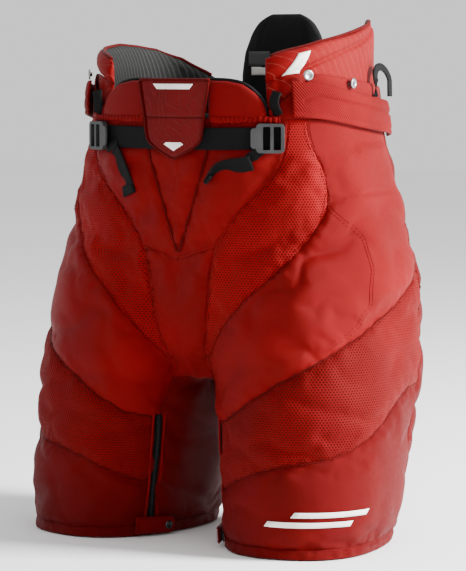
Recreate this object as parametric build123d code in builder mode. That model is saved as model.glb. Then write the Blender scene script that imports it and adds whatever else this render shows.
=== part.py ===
"""Padded ice hockey pants: sewn shell panels over foam and guards, floating hip and spine pads, a
waist strap with ladder-lock buckles, and inner-leg zippers closed by snap tabs.

Millimetres. +Z is up and the wearer faces -Y, so the wearer's left side is +X. Z = 0 is the plane
that both leg hems stand on, and the origin is at the middle of the bounding box's floor. Left
pieces are modelled, and right pieces are their mirror images about the YZ plane.
"""

import math
import os

from build123d import *

# ---- driving dimensions -------------------------------------------------------------------------
HIP_Y, HIP_Z = 4.0, 300.0  # hip axis, parallel to X, that each leg bends about
HIP_R = 165.0  # radius about that axis of the line where leg panels meet pelvis panels
LEG_GAP = 0.8  # running gap between the pelvis and a leg
WAIST_Z = 488.0  # top of the main shell, where the waistband starts
CROTCH_Z = 197.0  # underside of the crotch
PAD_TOP_Z = 610.0  # top of the spine pad
CLOTH = 4.0  # padded shell panel
WALL = 13.0  # shell, guard and foam together
LAYER_GAP = 0.4  # between one layer and the next
SEAM = 0.25  # each panel is this much smaller than its outline
HEM_H = 14.0  # bound hem roll
REAR_U = 60.0  # behind the hip axis by this much, side panels give way to the seat panel

WEB_W, WEB_T = 25.0, 1.8  # waist webbing
BELT_Z = 467.0
BUCKLE_W, BUCKLE_H, BUCKLE_T = 32.0, 33.0, 6.0
BUCKLE_X = 115.0  # middle of a ladder-lock buckle
BUTTON_R, BUTTON_T = 7.5, 2.6  # suspender button head
ZIP_W, ZIP_L = 9.0, 138.0  # tape over the teeth
TAB_W, TAB_T = 20.0, 2.2  # snap tab over the end of the zipper
SNAP_R = 5.0

# Torso form by height: z, half-width, depth to the front, depth to the back, squareness exponent.
TORSO = [
    (CROTCH_Z, 126.0, 92.0, 100.0, 2.3),
    (222.0, 200.0, 114.0, 138.0, 2.4),
    (255.0, 222.0, 122.0, 149.0, 2.5),
    (300.0, 221.0, 127.0, 152.0, 2.5),
    (350.0, 206.0, 127.5, 149.0, 2.6),
    (420.0, 183.0, 128.0, 140.0, 2.8),
    (484.0, 167.0, 128.0, 129.0, 3.0),
    (545.0, 162.0, 128.0, 125.0, 3.0),
    (612.0, 161.0, 128.0, 124.0, 3.0),
]
# Left leg form by height: z, centre x, centre y from the hip axis, half-width, half-depth, toe-out.
LEG = [
    (-6.0, 127.0, -46.0, 89.0, 114.0, 12.0),
    (0.0, 127.0, -45.0, 89.0, 115.0, 12.0),
    (60.0, 125.0, -31.0, 96.0, 125.0, 12.0),
    (120.0, 121.0, -17.0, 100.0, 132.0, 11.0),
    (172.0, 117.0, -9.0, 106.0, 138.0, 8.0),
    (215.0, 113.0, -4.0, 109.0, 140.0, 4.0),
    (250.0, 110.0, -2.0, 109.0, 137.0, 1.0),
    (300.0, 102.0, 0.0, 108.0, 129.0, 0.0),
    (350.0, 90.0, 0.0, 98.0, 117.0, 0.0),
]
LEG_SQUARE = 2.42
STEPS = 18  # points round one section


# ---- forms --------------------------------------------------------------------------------------
def squircle(angle, half_x, half_y, power):
    """Point of a rounded square, angle in degrees from the front (-Y) towards +X."""
    c, s = math.cos(math.radians(angle)), math.sin(math.radians(angle))
    return (
        math.copysign(half_x * abs(s) ** (2 / power), s),
        -math.copysign(half_y * abs(c) ** (2 / power), c),
    )


def torso_ring(row, inset):
    """Points round the torso section of one row, taken in by inset."""
    z, half_x, front, back, power = row
    ring = []
    for step in range(STEPS):
        angle = 360 * step / STEPS
        depth = front if math.cos(math.radians(angle)) > 0 else back
        x, y = squircle(angle, half_x - inset, depth - inset, power)
        ring.append((x, y + HIP_Y))
    return ring


def leg_ring(row, inset):
    """Points round the left leg section of one row, taken in by inset."""
    z, cx, cy, half_x, half_y, toe_out = row
    turn = math.radians(toe_out)
    ring = []
    for step in range(STEPS):
        x, y = squircle(360 * step / STEPS, half_x - inset, half_y - inset, LEG_SQUARE)
        ring.append(
            (
                cx + x * math.cos(turn) - y * math.sin(turn),
                HIP_Y + cy + x * math.sin(turn) + y * math.cos(turn),
            )
        )
    return ring


def torso_form(inset):
    """Solid torso, taken in by inset all round and at the crotch."""
    with BuildPart() as form:
        for row in TORSO:
            z = row[0] + (max(inset, 0) if row is TORSO[0] else 0)
            with BuildSketch(Plane.XY.offset(z)):
                with BuildLine():
                    Spline(*torso_ring(row, inset), periodic=True)
                make_face()
        loft()
    return form.part


def leg_form(inset):
    """Solid left leg, taken in by inset all round."""
    with BuildPart() as form:
        for row in LEG:
            with BuildSketch(Plane.XY.offset(row[0])):
                with BuildLine():
                    Spline(*leg_ring(row, inset), periodic=True)
                make_face()
        loft()
    return form.part


def half_form(inset):
    """Left half of torso and leg in one solid."""
    with BuildPart() as form:
        add(torso_form(inset))
        add(leg_form(inset))
        with Locations((300, HIP_Y, 300)):
            Box(600, 600, 800, mode=Mode.INTERSECT)
    return form.part


def layer(outer, inner):
    """The solid between two nested forms."""
    with BuildPart() as between:
        add(outer)
        add(inner, mode=Mode.SUBTRACT)
    return between.part


def front_panel(stock, outline, rear_y=HIP_Y + REAR_U, front_y=-320.0):
    """The stretch of stock that an outline drawn in front view (x, z) covers."""
    with BuildPart() as panel:
        add(stock)
        with BuildSketch(Plane.XZ.offset(-rear_y)):
            with BuildLine():
                Polyline(*outline, close=True)
            make_face()
            offset(amount=-SEAM, kind=Kind.INTERSECTION)
        extrude(amount=rear_y - front_y, mode=Mode.INTERSECT)
    return panel.part


def side_panel(stock, outline, x_from=-300.0, x_to=300.0):
    """The stretch of stock that an outline drawn in side view (y from the hip axis, z) covers."""
    with BuildPart() as panel:
        add(stock)
        with BuildSketch(Plane.YZ.offset(x_from)):
            with BuildLine():
                Polyline(*[(HIP_Y + u, z) for u, z in outline], close=True)
            make_face()
            offset(amount=-SEAM, kind=Kind.INTERSECTION)
        extrude(amount=x_to - x_from, mode=Mode.INTERSECT)
    return panel.part


def leg_point(angle, z):
    """Point on the left leg's outer surface, angle in degrees from the front towards +X."""
    low = max(row for row in LEG if row[0] <= z)
    high = min(row for row in LEG if row[0] > z)
    t = (z - low[0]) / (high[0] - low[0])
    cx, cy, half_x, half_y, toe_out = [a + (b - a) * t for a, b in zip(low[1:], high[1:])]
    x, y = squircle(angle, half_x, half_y, LEG_SQUARE)
    turn = math.radians(toe_out)
    return Vector(
        cx + x * math.cos(turn) - y * math.sin(turn),
        HIP_Y + cy + x * math.sin(turn) + y * math.cos(turn),
        z,
    )


def waist_plane(x, z, out):
    """Plane that lies on the front of the left waist at x, moved out from the surface."""
    half_x, front, power = 167.0, 128.0, 3.0
    depth = front * (1 - (x / half_x) ** power) ** (1 / power)
    slope = (x / half_x) ** (power - 1) / half_x, (depth / front) ** (power - 1) / front
    normal = Vector(slope[0], -slope[1], 0).normalized()
    tangent = Vector(-normal.Y, normal.X, 0)
    return Plane(origin=Vector(x, HIP_Y - depth, z) + normal * out, x_dir=tangent, z_dir=normal)


def both_sides(left):
    """One solid from a left half and its mirror image."""
    with BuildPart() as whole:
        add(left)
        mirror(about=Plane.YZ)
    return whole.part


def save(part, name):
    part.label = name
    export_step(part, f"parts/{name}.step")


def save_pair(left, name):
    save(left, f"{name}_left")
    save(mirror(left, about=Plane.YZ), f"{name}_right")


os.makedirs("parts", exist_ok=True)

# ---- zones --------------------------------------------------------------------------------------
with BuildPart() as hip_drum:
    with Locations(Location((0, HIP_Y, HIP_Z), (0, 90, 0))):
        Cylinder(HIP_R, 700)

with BuildPart() as pelvis_zone:
    with Locations((0, HIP_Y, HIP_Z)):
        Box(700, 700, 400, align=(Align.CENTER, Align.CENTER, Align.MIN))
    add(hip_drum.part)

with BuildPart() as leg_zone:
    with Locations((300, HIP_Y, HIP_Z)):
        Box(599, 700, 320, align=(Align.CENTER, Align.CENTER, Align.MAX))
    with Locations(Location((0, HIP_Y, HIP_Z), (0, 90, 0))):
        Cylinder(HIP_R + LEG_GAP, 700, mode=Mode.SUBTRACT)

outer = half_form(0.0)
under_cloth = half_form(CLOTH)
over_foam = half_form(CLOTH + LAYER_GAP)
cavity = half_form(WALL)
shell = layer(outer, under_cloth)
foam = layer(over_foam, cavity)

with BuildPart() as pelvis_shell:
    add(shell)
    add(pelvis_zone.part, mode=Mode.INTERSECT)
    with Locations((0, 0, WAIST_Z)):
        Box(700, 700, 700, align=(Align.CENTER, Align.CENTER, Align.MAX), mode=Mode.INTERSECT)

with BuildPart() as pelvis_foam:
    add(foam)
    add(pelvis_zone.part, mode=Mode.INTERSECT)
    with Locations((0, 0, WAIST_Z - 4)):
        Box(700, 700, 700, align=(Align.CENTER, Align.CENTER, Align.MAX), mode=Mode.INTERSECT)

with BuildPart() as leg_shell:
    add(shell)
    add(leg_zone.part, mode=Mode.INTERSECT)
    with Locations((0, 0, HEM_H + SEAM)):
        Box(700, 700, 700, align=(Align.CENTER, Align.CENTER, Align.MIN), mode=Mode.INTERSECT)

with BuildPart() as leg_foam:
    add(foam)
    add(leg_zone.part, mode=Mode.INTERSECT)
    with Locations((0, 0, HEM_H + SEAM)):
        Box(700, 700, 700, align=(Align.CENTER, Align.CENTER, Align.MIN), mode=Mode.INTERSECT)

# ---- pelvis panels ------------------------------------------------------------------------------
V_SEAM = [(0, 331), (41, 454), (41, 500)]
MESH_FRONT = [(131, 500), (130, 456), (106, 411), (75, 380), (50, 342), (42, 305), (34, 247), (22, 210)]
MESH_REAR = [(62, 250), (92, 286), (128, 318), (153, 350), (170, 393), (167, 418), (157, 449), (146, 500)]

save(both_sides(front_panel(pelvis_shell.part, [(-5, 331), *V_SEAM, (-5, 500)])), "fly_panel")
save_pair(
    front_panel(pelvis_shell.part, [*V_SEAM, *MESH_FRONT[:5], (42, 328), (0, 328)]), "front_gore"
)
save_pair(front_panel(pelvis_shell.part, [*MESH_FRONT, *MESH_REAR]), "hip_mesh")
save_pair(
    front_panel(
        pelvis_shell.part,
        [(40, 228), *MESH_REAR, (280, 500), (280, 120), (40, 120)],
    ),
    "side_panel",
)
save(
    both_sides(
        front_panel(
            pelvis_shell.part, [(-5, 328), (42, 328), *MESH_FRONT[5:], (40, 228), (40, 120), (-5, 120)]
        )
    ),
    "crotch_gusset",
)
SEAT = [(REAR_U, 500), (260, 500), (260, 120), (REAR_U, 120)]
save(both_sides(side_panel(pelvis_shell.part, SEAT)), "seat_panel")

# ---- pelvis foam --------------------------------------------------------------------------------
BELLY = [(-5, 330), (60, 330), (110, 400), (116, 500), (-5, 500)]
save(both_sides(front_panel(pelvis_foam.part, BELLY)), "belly_padding")
save_pair(
    front_panel(
        pelvis_foam.part,
        [(45, 330), (60, 330), (110, 400), (116, 500), (280, 500), (280, 120), (45, 120)],
    ),
    "hip_padding",
)
save(
    both_sides(front_panel(pelvis_foam.part, [(-5, 330), (45, 330), (45, 120), (-5, 120)])),
    "crotch_padding",
)
save(both_sides(side_panel(pelvis_foam.part, SEAT)), "seat_padding")

# ---- waist --------------------------------------------------------------------------------------
with BuildPart() as left_block:
    with Locations((300, HIP_Y, 300)):
        Box(600, 600, 800)


def waist_layer(outer_inset, inner_inset):
    """Left half of a thin band that follows the torso."""
    with BuildPart() as band:
        add(torso_form(outer_inset))
        add(torso_form(inner_inset), mode=Mode.SUBTRACT)
        add(left_block.part, mode=Mode.INTERSECT)
    return band.part


web_layer = waist_layer(-0.6 - WEB_T, -0.6)
pad_layer = waist_layer(5.0, 19.0)

with BuildPart() as waist_ring:
    add(layer(outer, under_cloth))
    with Locations((0, 0, WAIST_Z + SEAM)):
        Box(700, 700, 300, align=(Align.CENTER, Align.CENTER, Align.MIN), mode=Mode.INTERSECT)

with BuildPart() as waistband:
    add(side_panel(waist_ring.part, [(-140, 480), (-140, 548), (140, 516), (140, 480)]))
    with Locations((0, HIP_Y - 200, WAIST_Z)):
        Box(2 * 112.5, 400, 300, mode=Mode.SUBTRACT)
save(both_sides(waistband.part), "waistband")

WING = [(45, 480), (110, 480), (110, 496), (106, 508), (97, 519), (84, 528), (66, 532), (45, 533)]
save_pair(front_panel(waist_ring.part, WING), "belly_wing")

with BuildPart() as shield:
    with BuildSketch(Plane.XZ.offset(131.0 - HIP_Y)):
        with BuildLine():
            right_edge = Polyline((0, 443), (25, 454), (36, 462), (40, 490), (47, 531), (0, 533))
            mirror(right_edge, about=Plane.YZ)
        make_face()
    extrude(amount=4.0)
    fillet(shield.faces().sort_by(Axis.Y)[0].edges(), 1.2)
save(shield.part, "shield")

BELT_LOW, BELT_HIGH = BELT_Z - WEB_W / 2, BELT_Z + WEB_W / 2
belt_front = front_panel(web_layer, [(-5, BELT_LOW), (90, BELT_LOW), (90, BELT_HIGH), (-5, BELT_HIGH)])
belt_anchor = front_panel(
    web_layer, [(132, BELT_LOW), (141, BELT_LOW), (141, BELT_HIGH), (132, BELT_HIGH)], rear_y=HIP_Y
)
with BuildPart() as waist_webbing:
    add(both_sides(belt_front))
    add(belt_anchor)
    add(mirror(belt_anchor, about=Plane.YZ))
save(waist_webbing.part, "waist_webbing")

tunnel = front_panel(web_layer, [(49, 484.6), (124, 484.6), (124, 491), (49, 491)], rear_y=HIP_Y)
with BuildPart() as belt_tunnels:
    add(tunnel)
    add(mirror(tunnel, about=Plane.YZ))
save(belt_tunnels.part, "belt_tunnels")

flap_side = side_panel(waist_layer(-6.5, -0.8), [(-110, 491), (-104, 531.5), (92, 505), (95, 465)])
save_pair(
    front_panel(flap_side, [(138, 440), (138, 560), (280, 560), (280, 440)], rear_y=HIP_Y + 200),
    "waist_flap",
)

tether = front_panel(web_layer, [(115, 492), (129, 492), (129, 520), (115, 520)], rear_y=HIP_Y)
with BuildPart() as pad_tethers:
    add(tether)
    add(mirror(tether, about=Plane.YZ))
save(pad_tethers.part, "pad_tethers")

with BuildPart() as hanger_loop:
    with BuildSketch(Plane.YZ.offset(164.8)):
        with Locations((HIP_Y + 58, 531)):
            Circle(19)
            Rectangle(38, 17, align=(Align.CENTER, Align.MAX))
            Circle(12, mode=Mode.SUBTRACT)
            Rectangle(24, 17, align=(Align.CENTER, Align.MAX), mode=Mode.SUBTRACT)
    extrude(amount=2.0)
with BuildPart() as hanger_loops:
    add(hanger_loop.part)
    add(mirror(hanger_loop.part, about=Plane.YZ))
save(hanger_loops.part, "hanger_loops")

BUTTON_PLACES = [
    Plane(origin=(146.6, HIP_Y - 86.0, 537.5), z_dir=(0.82, -0.57, 0)),
    Plane(origin=(164.5, HIP_Y - 18, 528), z_dir=(1, 0, 0)),
    Plane(origin=(45, HIP_Y + 128.1, 504), z_dir=(0.06, 1, 0)),
]
with BuildPart() as left_buttons:
    for place in BUTTON_PLACES:
        with BuildSketch(place):
            Circle(3.0)
        extrude(amount=2.2)
        with BuildSketch(place.offset(2.2)):
            Circle(BUTTON_R)
        extrude(amount=BUTTON_T)
with BuildPart() as suspender_buttons:
    add(left_buttons.part)
    add(mirror(left_buttons.part, about=Plane.YZ))
save(suspender_buttons.part, "suspender_buttons")

# ---- floating pads ------------------------------------------------------------------------------
HIP_PAD = [
    (-92, 493), (-97, 520), (-97, 548), (-88, 565), (-55, 578), (0, 588), (50, 598), (84, 606),
    (97, 600), (102, 570), (98, 493),
]
save_pair(side_panel(pad_layer, HIP_PAD), "hip_pad")

SPINE_PAD = [(-5, 493), (62, 493), (65, 560), (58, 588), (44, 604), (20, PAD_TOP_Z), (-5, PAD_TOP_Z)]
save(
    both_sides(front_panel(pad_layer, SPINE_PAD, rear_y=HIP_Y + 300, front_y=HIP_Y + 60)),
    "spine_pad",
)

# ---- waist strap hardware -----------------------------------------------------------------------
buckle_plane = waist_plane(BUCKLE_X, BELT_Z, 2.0)
with BuildPart() as buckle:
    with BuildSketch(buckle_plane):
        RectangleRounded(BUCKLE_W, BUCKLE_H, 5.0)
        with Locations((-4.0, 0), (8.0, 0)):
            RectangleRounded(8.4, WEB_W + 1.0, 1.2, mode=Mode.SUBTRACT)
    extrude(amount=BUCKLE_T)
    with BuildSketch(buckle_plane.offset(BUCKLE_T - 2.2)):
        with Locations((-BUCKLE_W / 2 - 1.5, 0)):
            RectangleRounded(9.0, 23.0, 4.0)
    extrude(amount=2.2)
save_pair(buckle.part, "buckle")

tail_plane = waist_plane(99.0, BELT_LOW - 6.1, 1.6)
with BuildPart() as belt_tail:
    with BuildSketch(tail_plane):
        with BuildLine():
            Polyline((-12.5, 0), (12.5, 0), (12.5, -52), (6, -58), (-6, -58), (-12.5, -52), close=True)
        make_face()
    extrude(amount=WEB_T)
save_pair(belt_tail.part, "belt_tail")

# ---- inner-leg zipper and snap tab --------------------------------------------------------------
zip_low, zip_high = leg_point(-71, 6), leg_point(-60, 150)
zip_up = (zip_high - zip_low).normalized()
across = (leg_point(-66, 6) - leg_point(-76, 6)).normalized()
zip_out = across.cross(zip_up).normalized()
zip_plane = Plane(origin=zip_low, x_dir=zip_up.cross(zip_out), z_dir=zip_out)

with BuildPart() as zip_slot:
    with BuildSketch(zip_plane.offset(-30)):
        with Locations((0, -20)):
            Rectangle(ZIP_W + 0.6, ZIP_L + 21, align=(Align.CENTER, Align.MIN))
    extrude(amount=60)

with BuildPart() as zipper_tape:
    with BuildSketch(zip_plane.offset(-3.6)):
        with Locations((0, -4)):
            Rectangle(ZIP_W, ZIP_L + 4, align=(Align.CENTER, Align.MIN))
    extrude(amount=3.0)
save_pair(zipper_tape.part, "zipper_tape")

with BuildPart() as zipper_slider:
    with BuildSketch(zip_plane.offset(-0.3)):
        with Locations((0, 13)):
            Trapezoid(8.4, 11.0, 82)
    extrude(amount=3.0)
    fillet(zipper_slider.edges().filter_by(Axis(zip_plane.origin, zip_plane.z_dir)), 1.0)
save_pair(zipper_slider.part, "zipper_slider")

with BuildPart() as zipper_pull:
    with BuildSketch(zip_plane.offset(2.9)):
        with Locations((0, 6)):
            SlotCenterToCenter(12, 5.0, rotation=90)
        with Locations((0, 1)):
            Circle(1.3, mode=Mode.SUBTRACT)
    extrude(amount=1.2)
save_pair(zipper_pull.part, "zipper_pull")

tab_side = Plane(origin=zip_plane.origin, x_dir=zip_plane.x_dir, z_dir=-zip_plane.y_dir)
SNAP_X, TAB_Y = -20.0, 8.0
with BuildPart() as snap_tab:
    with BuildSketch(tab_side.offset(-TAB_Y - TAB_W / 2)):
        with BuildLine():
            Polyline((-30, 5), (15, 5), (22, 1.2), (24.5, 2.4), (16, 7.2), (-30, 7.2), close=True)
        make_face()
    extrude(amount=TAB_W)
    with BuildSketch(zip_plane.offset(-5)):
        with Locations((SNAP_X, TAB_Y)):
            Circle(TAB_W / 2)
            Rectangle(60, TAB_W, align=(Align.MIN, Align.CENTER))
    extrude(amount=20, mode=Mode.INTERSECT)
save_pair(snap_tab.part, "snap_tab")

with BuildPart() as snap_cap:
    with BuildSketch(zip_plane.offset(7.3)):
        with Locations((SNAP_X, TAB_Y)):
            Circle(SNAP_R)
    extrude(amount=1.8)
    fillet(snap_cap.faces().sort_by(Axis((0, 0, 0), zip_plane.z_dir))[-1].edges(), 0.8)
save_pair(snap_cap.part, "snap_cap")

snap_reach = min(
    (abs(zip_plane.to_local_coords(leg_point(a, 15)).X - SNAP_X), a) for a in range(-110, -60)
)[1]
snap_floor = zip_plane.to_local_coords(leg_point(snap_reach, 15)).Z
with BuildPart() as snap_stud:
    with BuildSketch(zip_plane.offset(snap_floor + 0.8)):
        with Locations((SNAP_X, TAB_Y)):
            Circle(SNAP_R - 1)
    extrude(amount=4.6 - snap_floor - 0.8)
save_pair(snap_stud.part, "snap_stud")

# ---- legs ---------------------------------------------------------------------------------------
guard_under = layer(half_form(CLOTH + LAYER_GAP), half_form(CLOTH + 2.6))
guard_pocket = layer(half_form(CLOTH + 0.1), half_form(CLOTH + 3.0))

with BuildPart() as thigh_guard:
    add(guard_under)
    add(leg_zone.part, mode=Mode.INTERSECT)
    with Locations((200, HIP_Y - 90, 118)):
        Box(160, 200, 160, mode=Mode.INTERSECT)
save_pair(thigh_guard.part, "thigh_guard")

with BuildPart() as pocket:
    add(guard_pocket)
    with Locations((200, HIP_Y - 90, 118)):
        Box(160.8, 200.8, 160.8, mode=Mode.INTERSECT)

with BuildPart() as leg_padding:
    add(leg_foam.part)
    add(pocket.part, mode=Mode.SUBTRACT)
    add(zip_slot.part, mode=Mode.SUBTRACT)
save_pair(leg_padding.part, "leg_padding")

with BuildPart() as hem:
    add(layer(outer, cavity))
    with Locations((0, 0, HEM_H)):
        Box(700, 700, HEM_H, align=(Align.CENTER, Align.CENTER, Align.MAX), mode=Mode.INTERSECT)
    add(zip_slot.part, mode=Mode.SUBTRACT)
save_pair(hem.part, "hem")

with BuildPart() as slotted_shell:
    add(leg_shell.part)
    add(zip_slot.part, mode=Mode.SUBTRACT)

REAR_THIGH = [(28, 0), (73, 217), (80, 300), (260, 300), (260, 0)]
FRONT_THIGH = [(28, 0), (73, 217), (80, 300), (-260, 300), (-260, 0)]
save_pair(side_panel(slotted_shell.part, REAR_THIGH), "rear_thigh")
front_leg = side_panel(slotted_shell.part, FRONT_THIGH)

with BuildPart() as inner_block:
    with BuildSketch(zip_plane.offset(-48)):
        with Locations((0, -40)):
            Rectangle(170, 320, align=(Align.MAX, Align.MIN))
    extrude(amount=90)

with BuildPart() as inner_thigh:
    add(front_leg)
    add(inner_block.part, mode=Mode.INTERSECT)
save_pair(inner_thigh.part, "inner_thigh")

with BuildPart() as outer_leg:
    add(front_leg)
    add(inner_block.part, mode=Mode.SUBTRACT)

cuff_seam = Plane(origin=(157, HIP_Y - 142, 105), z_dir=(-0.32, -0.35, 1))
thigh_seam = Plane(origin=(150, HIP_Y - 137, 199), z_dir=(-0.546, -0.288, 1))


def between(stock, low_plane, high_plane):
    """The stretch of stock above one slanted seam and below another."""
    with BuildPart() as strip:
        add(stock)
        if low_plane:
            with BuildSketch(low_plane.offset(SEAM)):
                Rectangle(900, 900)
            extrude(amount=500, mode=Mode.INTERSECT)
        if high_plane:
            with BuildSketch(high_plane.offset(-SEAM)):
                Rectangle(900, 900)
            extrude(amount=-500, mode=Mode.INTERSECT)
    return strip.part


save_pair(between(outer_leg.part, None, cuff_seam), "cuff_panel")
save_pair(between(outer_leg.part, cuff_seam, thigh_seam), "thigh_mesh")
save_pair(between(outer_leg.part, thigh_seam, None), "thigh_panel")
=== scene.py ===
import math

import bmesh
import bpy
import numpy as np
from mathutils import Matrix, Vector
from mathutils.bvhtree import BVHTree
from mathutils.kdtree import KDTree


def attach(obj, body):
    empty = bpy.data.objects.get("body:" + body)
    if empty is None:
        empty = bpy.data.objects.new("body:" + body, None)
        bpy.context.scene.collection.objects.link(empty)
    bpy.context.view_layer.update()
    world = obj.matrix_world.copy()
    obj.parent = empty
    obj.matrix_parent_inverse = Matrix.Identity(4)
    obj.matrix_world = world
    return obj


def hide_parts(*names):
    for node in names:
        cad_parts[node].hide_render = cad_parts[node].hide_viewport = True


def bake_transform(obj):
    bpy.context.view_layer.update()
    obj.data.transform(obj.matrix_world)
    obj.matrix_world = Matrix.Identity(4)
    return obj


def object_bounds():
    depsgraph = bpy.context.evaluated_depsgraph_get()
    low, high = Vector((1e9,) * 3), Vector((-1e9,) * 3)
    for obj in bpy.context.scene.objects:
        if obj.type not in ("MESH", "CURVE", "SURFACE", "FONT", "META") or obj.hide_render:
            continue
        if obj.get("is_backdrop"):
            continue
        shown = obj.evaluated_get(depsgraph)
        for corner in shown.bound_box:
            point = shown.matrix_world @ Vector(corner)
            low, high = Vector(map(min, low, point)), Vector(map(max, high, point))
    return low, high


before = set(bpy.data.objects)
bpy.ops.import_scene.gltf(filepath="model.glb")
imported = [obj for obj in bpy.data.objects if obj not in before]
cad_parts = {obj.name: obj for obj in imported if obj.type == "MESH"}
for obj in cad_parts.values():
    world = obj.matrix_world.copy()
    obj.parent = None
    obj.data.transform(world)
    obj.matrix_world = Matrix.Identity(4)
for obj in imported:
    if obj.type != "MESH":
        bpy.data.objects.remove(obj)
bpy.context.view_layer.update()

# ---- the body form, in millimetres, as in the frame ---------------------------------------------
HIP_Y = 4.0
BELT_Z = 467.0
WAIST_SEAM = 484.5
SIDES = (("left", 1), ("right", -1))
TURN = 2 * math.pi
UP_AXIS = Vector((0, 0, 1))
TORSO = np.array([
    (185.0, 110.0, 84.0, 92.0, 2.3),
    (197.0, 126.0, 92.0, 100.0, 2.3),
    (222.0, 200.0, 114.0, 138.0, 2.4),
    (255.0, 222.0, 122.0, 149.0, 2.5),
    (300.0, 221.0, 127.0, 152.0, 2.5),
    (350.0, 206.0, 127.5, 149.0, 2.6),
    (420.0, 183.0, 128.0, 140.0, 2.8),
    (484.0, 167.0, 128.0, 129.0, 3.0),
    (545.0, 162.0, 128.0, 125.0, 3.0),
    (612.0, 161.0, 128.0, 124.0, 3.0),
])
LEG = np.array([
    (-20.0, 127.0, -48.0, 89.0, 114.0, 12.0),
    (0.0, 127.0, -45.0, 89.0, 115.0, 12.0),
    (60.0, 125.0, -31.0, 96.0, 125.0, 12.0),
    (120.0, 121.0, -17.0, 100.0, 132.0, 11.0),
    (172.0, 117.0, -9.0, 106.0, 138.0, 8.0),
    (215.0, 113.0, -4.0, 109.0, 140.0, 4.0),
    (250.0, 110.0, -2.0, 109.0, 137.0, 1.0),
    (300.0, 102.0, 0.0, 108.0, 129.0, 0.0),
    (350.0, 90.0, 0.0, 98.0, 117.0, 0.0),
])
LEG_SQUARE = 2.42


def on_side(p, s):
    """A left-hand point, or its mirror on the right where s is -1."""
    return Vector((s * p.x, p.y, p.z))


def along(at, pairs):
    """Value at a place on a broken line of (place, value) pairs."""
    return np.interp(at, *zip(*pairs))


def row_at(table, z):
    return [float(np.interp(z, table[:, 0], table[:, k])) for k in range(1, table.shape[1])]


def torso_point(angle, z, inset=0.0):
    """Point on the torso form; angle in degrees from the front (-Y) towards +X."""
    half_x, front, back, power = row_at(TORSO, z)
    c, s = math.cos(math.radians(angle)), math.sin(math.radians(angle))
    depth = (front if c > 0 else back) - inset
    return Vector((
        math.copysign((half_x - inset) * abs(s) ** (2 / power), s),
        HIP_Y - math.copysign(depth * abs(c) ** (2 / power), c),
        z,
    ))


def leg_point(angle, z, inset=0.0):
    """Point on the left leg form."""
    cx, cy, half_x, half_y, toe = row_at(LEG, z)
    c, s = math.cos(math.radians(angle)), math.sin(math.radians(angle))
    x = math.copysign((half_x - inset) * abs(s) ** (2 / LEG_SQUARE), s)
    y = -math.copysign((half_y - inset) * abs(c) ** (2 / LEG_SQUARE), c)
    t = math.radians(toe)
    return Vector((
        cx + x * math.cos(t) - y * math.sin(t),
        HIP_Y + cy + x * math.sin(t) + y * math.cos(t),
        z,
    ))


def waist_at(x, z, out=0.0):
    """Front torso point at x, moved out along its normal; also the normal."""
    half_x, front, _, power = row_at(TORSO, z)
    ratio = min(abs(x) / half_x, 0.999)
    depth = front * (1 - ratio ** power) ** (1 / power)
    normal = Vector((
        math.copysign(ratio ** (power - 1) / half_x, x), -((depth / front) ** (power - 1)) / front, 0
    )).normalized()
    return Vector((x, HIP_Y - depth, z)) + normal * out, normal


# ---- mesh helpers -------------------------------------------------------------------------------
def make(name, verts, faces, smooth=True):
    """Mesh object from points in millimetres."""
    mesh = bpy.data.meshes.new(name)
    mesh.from_pydata([tuple(c * 0.001 for c in v) for v in verts], [], faces)
    mesh.validate()
    if smooth:
        mesh.shade_smooth()
    obj = bpy.data.objects.new(name, mesh)
    bpy.context.scene.collection.objects.link(obj)
    return obj


def apply_modifiers(obj):
    graph = bpy.context.evaluated_depsgraph_get()
    mesh = bpy.data.meshes.new_from_object(obj.evaluated_get(graph))
    obj.modifiers.clear()
    old = obj.data
    obj.data = mesh
    bpy.data.meshes.remove(old)


def points_of(obj):
    co = np.empty(len(obj.data.vertices) * 3)
    obj.data.vertices.foreach_get("co", co)
    return co.reshape(-1, 3) * 1000.0


def set_points(obj, pts):
    obj.data.vertices.foreach_set("co", (pts * 0.001).ravel())
    obj.data.update()


def normals_of(obj):
    no = np.empty(len(obj.data.vertices) * 3)
    obj.data.vertex_normals.foreach_get("vector", no)
    return no.reshape(-1, 3)


def surface_tree(obj):
    """Search tree over a piece's faces, in millimetres."""
    faces = [tuple(f.vertices) for f in obj.data.polygons]
    return BVHTree.FromPolygons([tuple(p) for p in points_of(obj)], faces)


def grid_faces(columns, rows, flip=False):
    """Quads over rows of points."""
    across, up = (columns, 1) if flip else (1, columns)
    return [(a, a + across, a + columns + 1, a + up)
            for a in (r * columns + k for r in range(rows - 1) for k in range(columns - 1))]


def ring_faces(rings, n, base=0, closed=False):
    """Quads between rings of n points each."""
    pairs = [(i, (i + 1) % rings) for i in range(rings if closed else rings - 1)]
    return [(base + i * n + k, base + i * n + (k + 1) % n, base + j * n + (k + 1) % n, base + j * n + k)
            for i, j in pairs for k in range(n)]


def end_faces(rings, n):
    """The two caps of an open run of rings."""
    return [tuple(range(n - 1, -1, -1)), tuple(range((rings - 1) * n, rings * n))]


def thicken(obj, thickness, offset=-1):
    """Give a sheet its thickness, in millimetres."""
    thick = obj.modifiers.new("thick", "SOLIDIFY")
    thick.thickness, thick.offset = thickness * 0.001, offset
    apply_modifiers(obj)


def finer(obj):
    fine = obj.modifiers.new("fine", "SUBSURF")
    fine.levels = fine.render_levels = 1
    apply_modifiers(obj)
    obj.data.shade_smooth()


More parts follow.
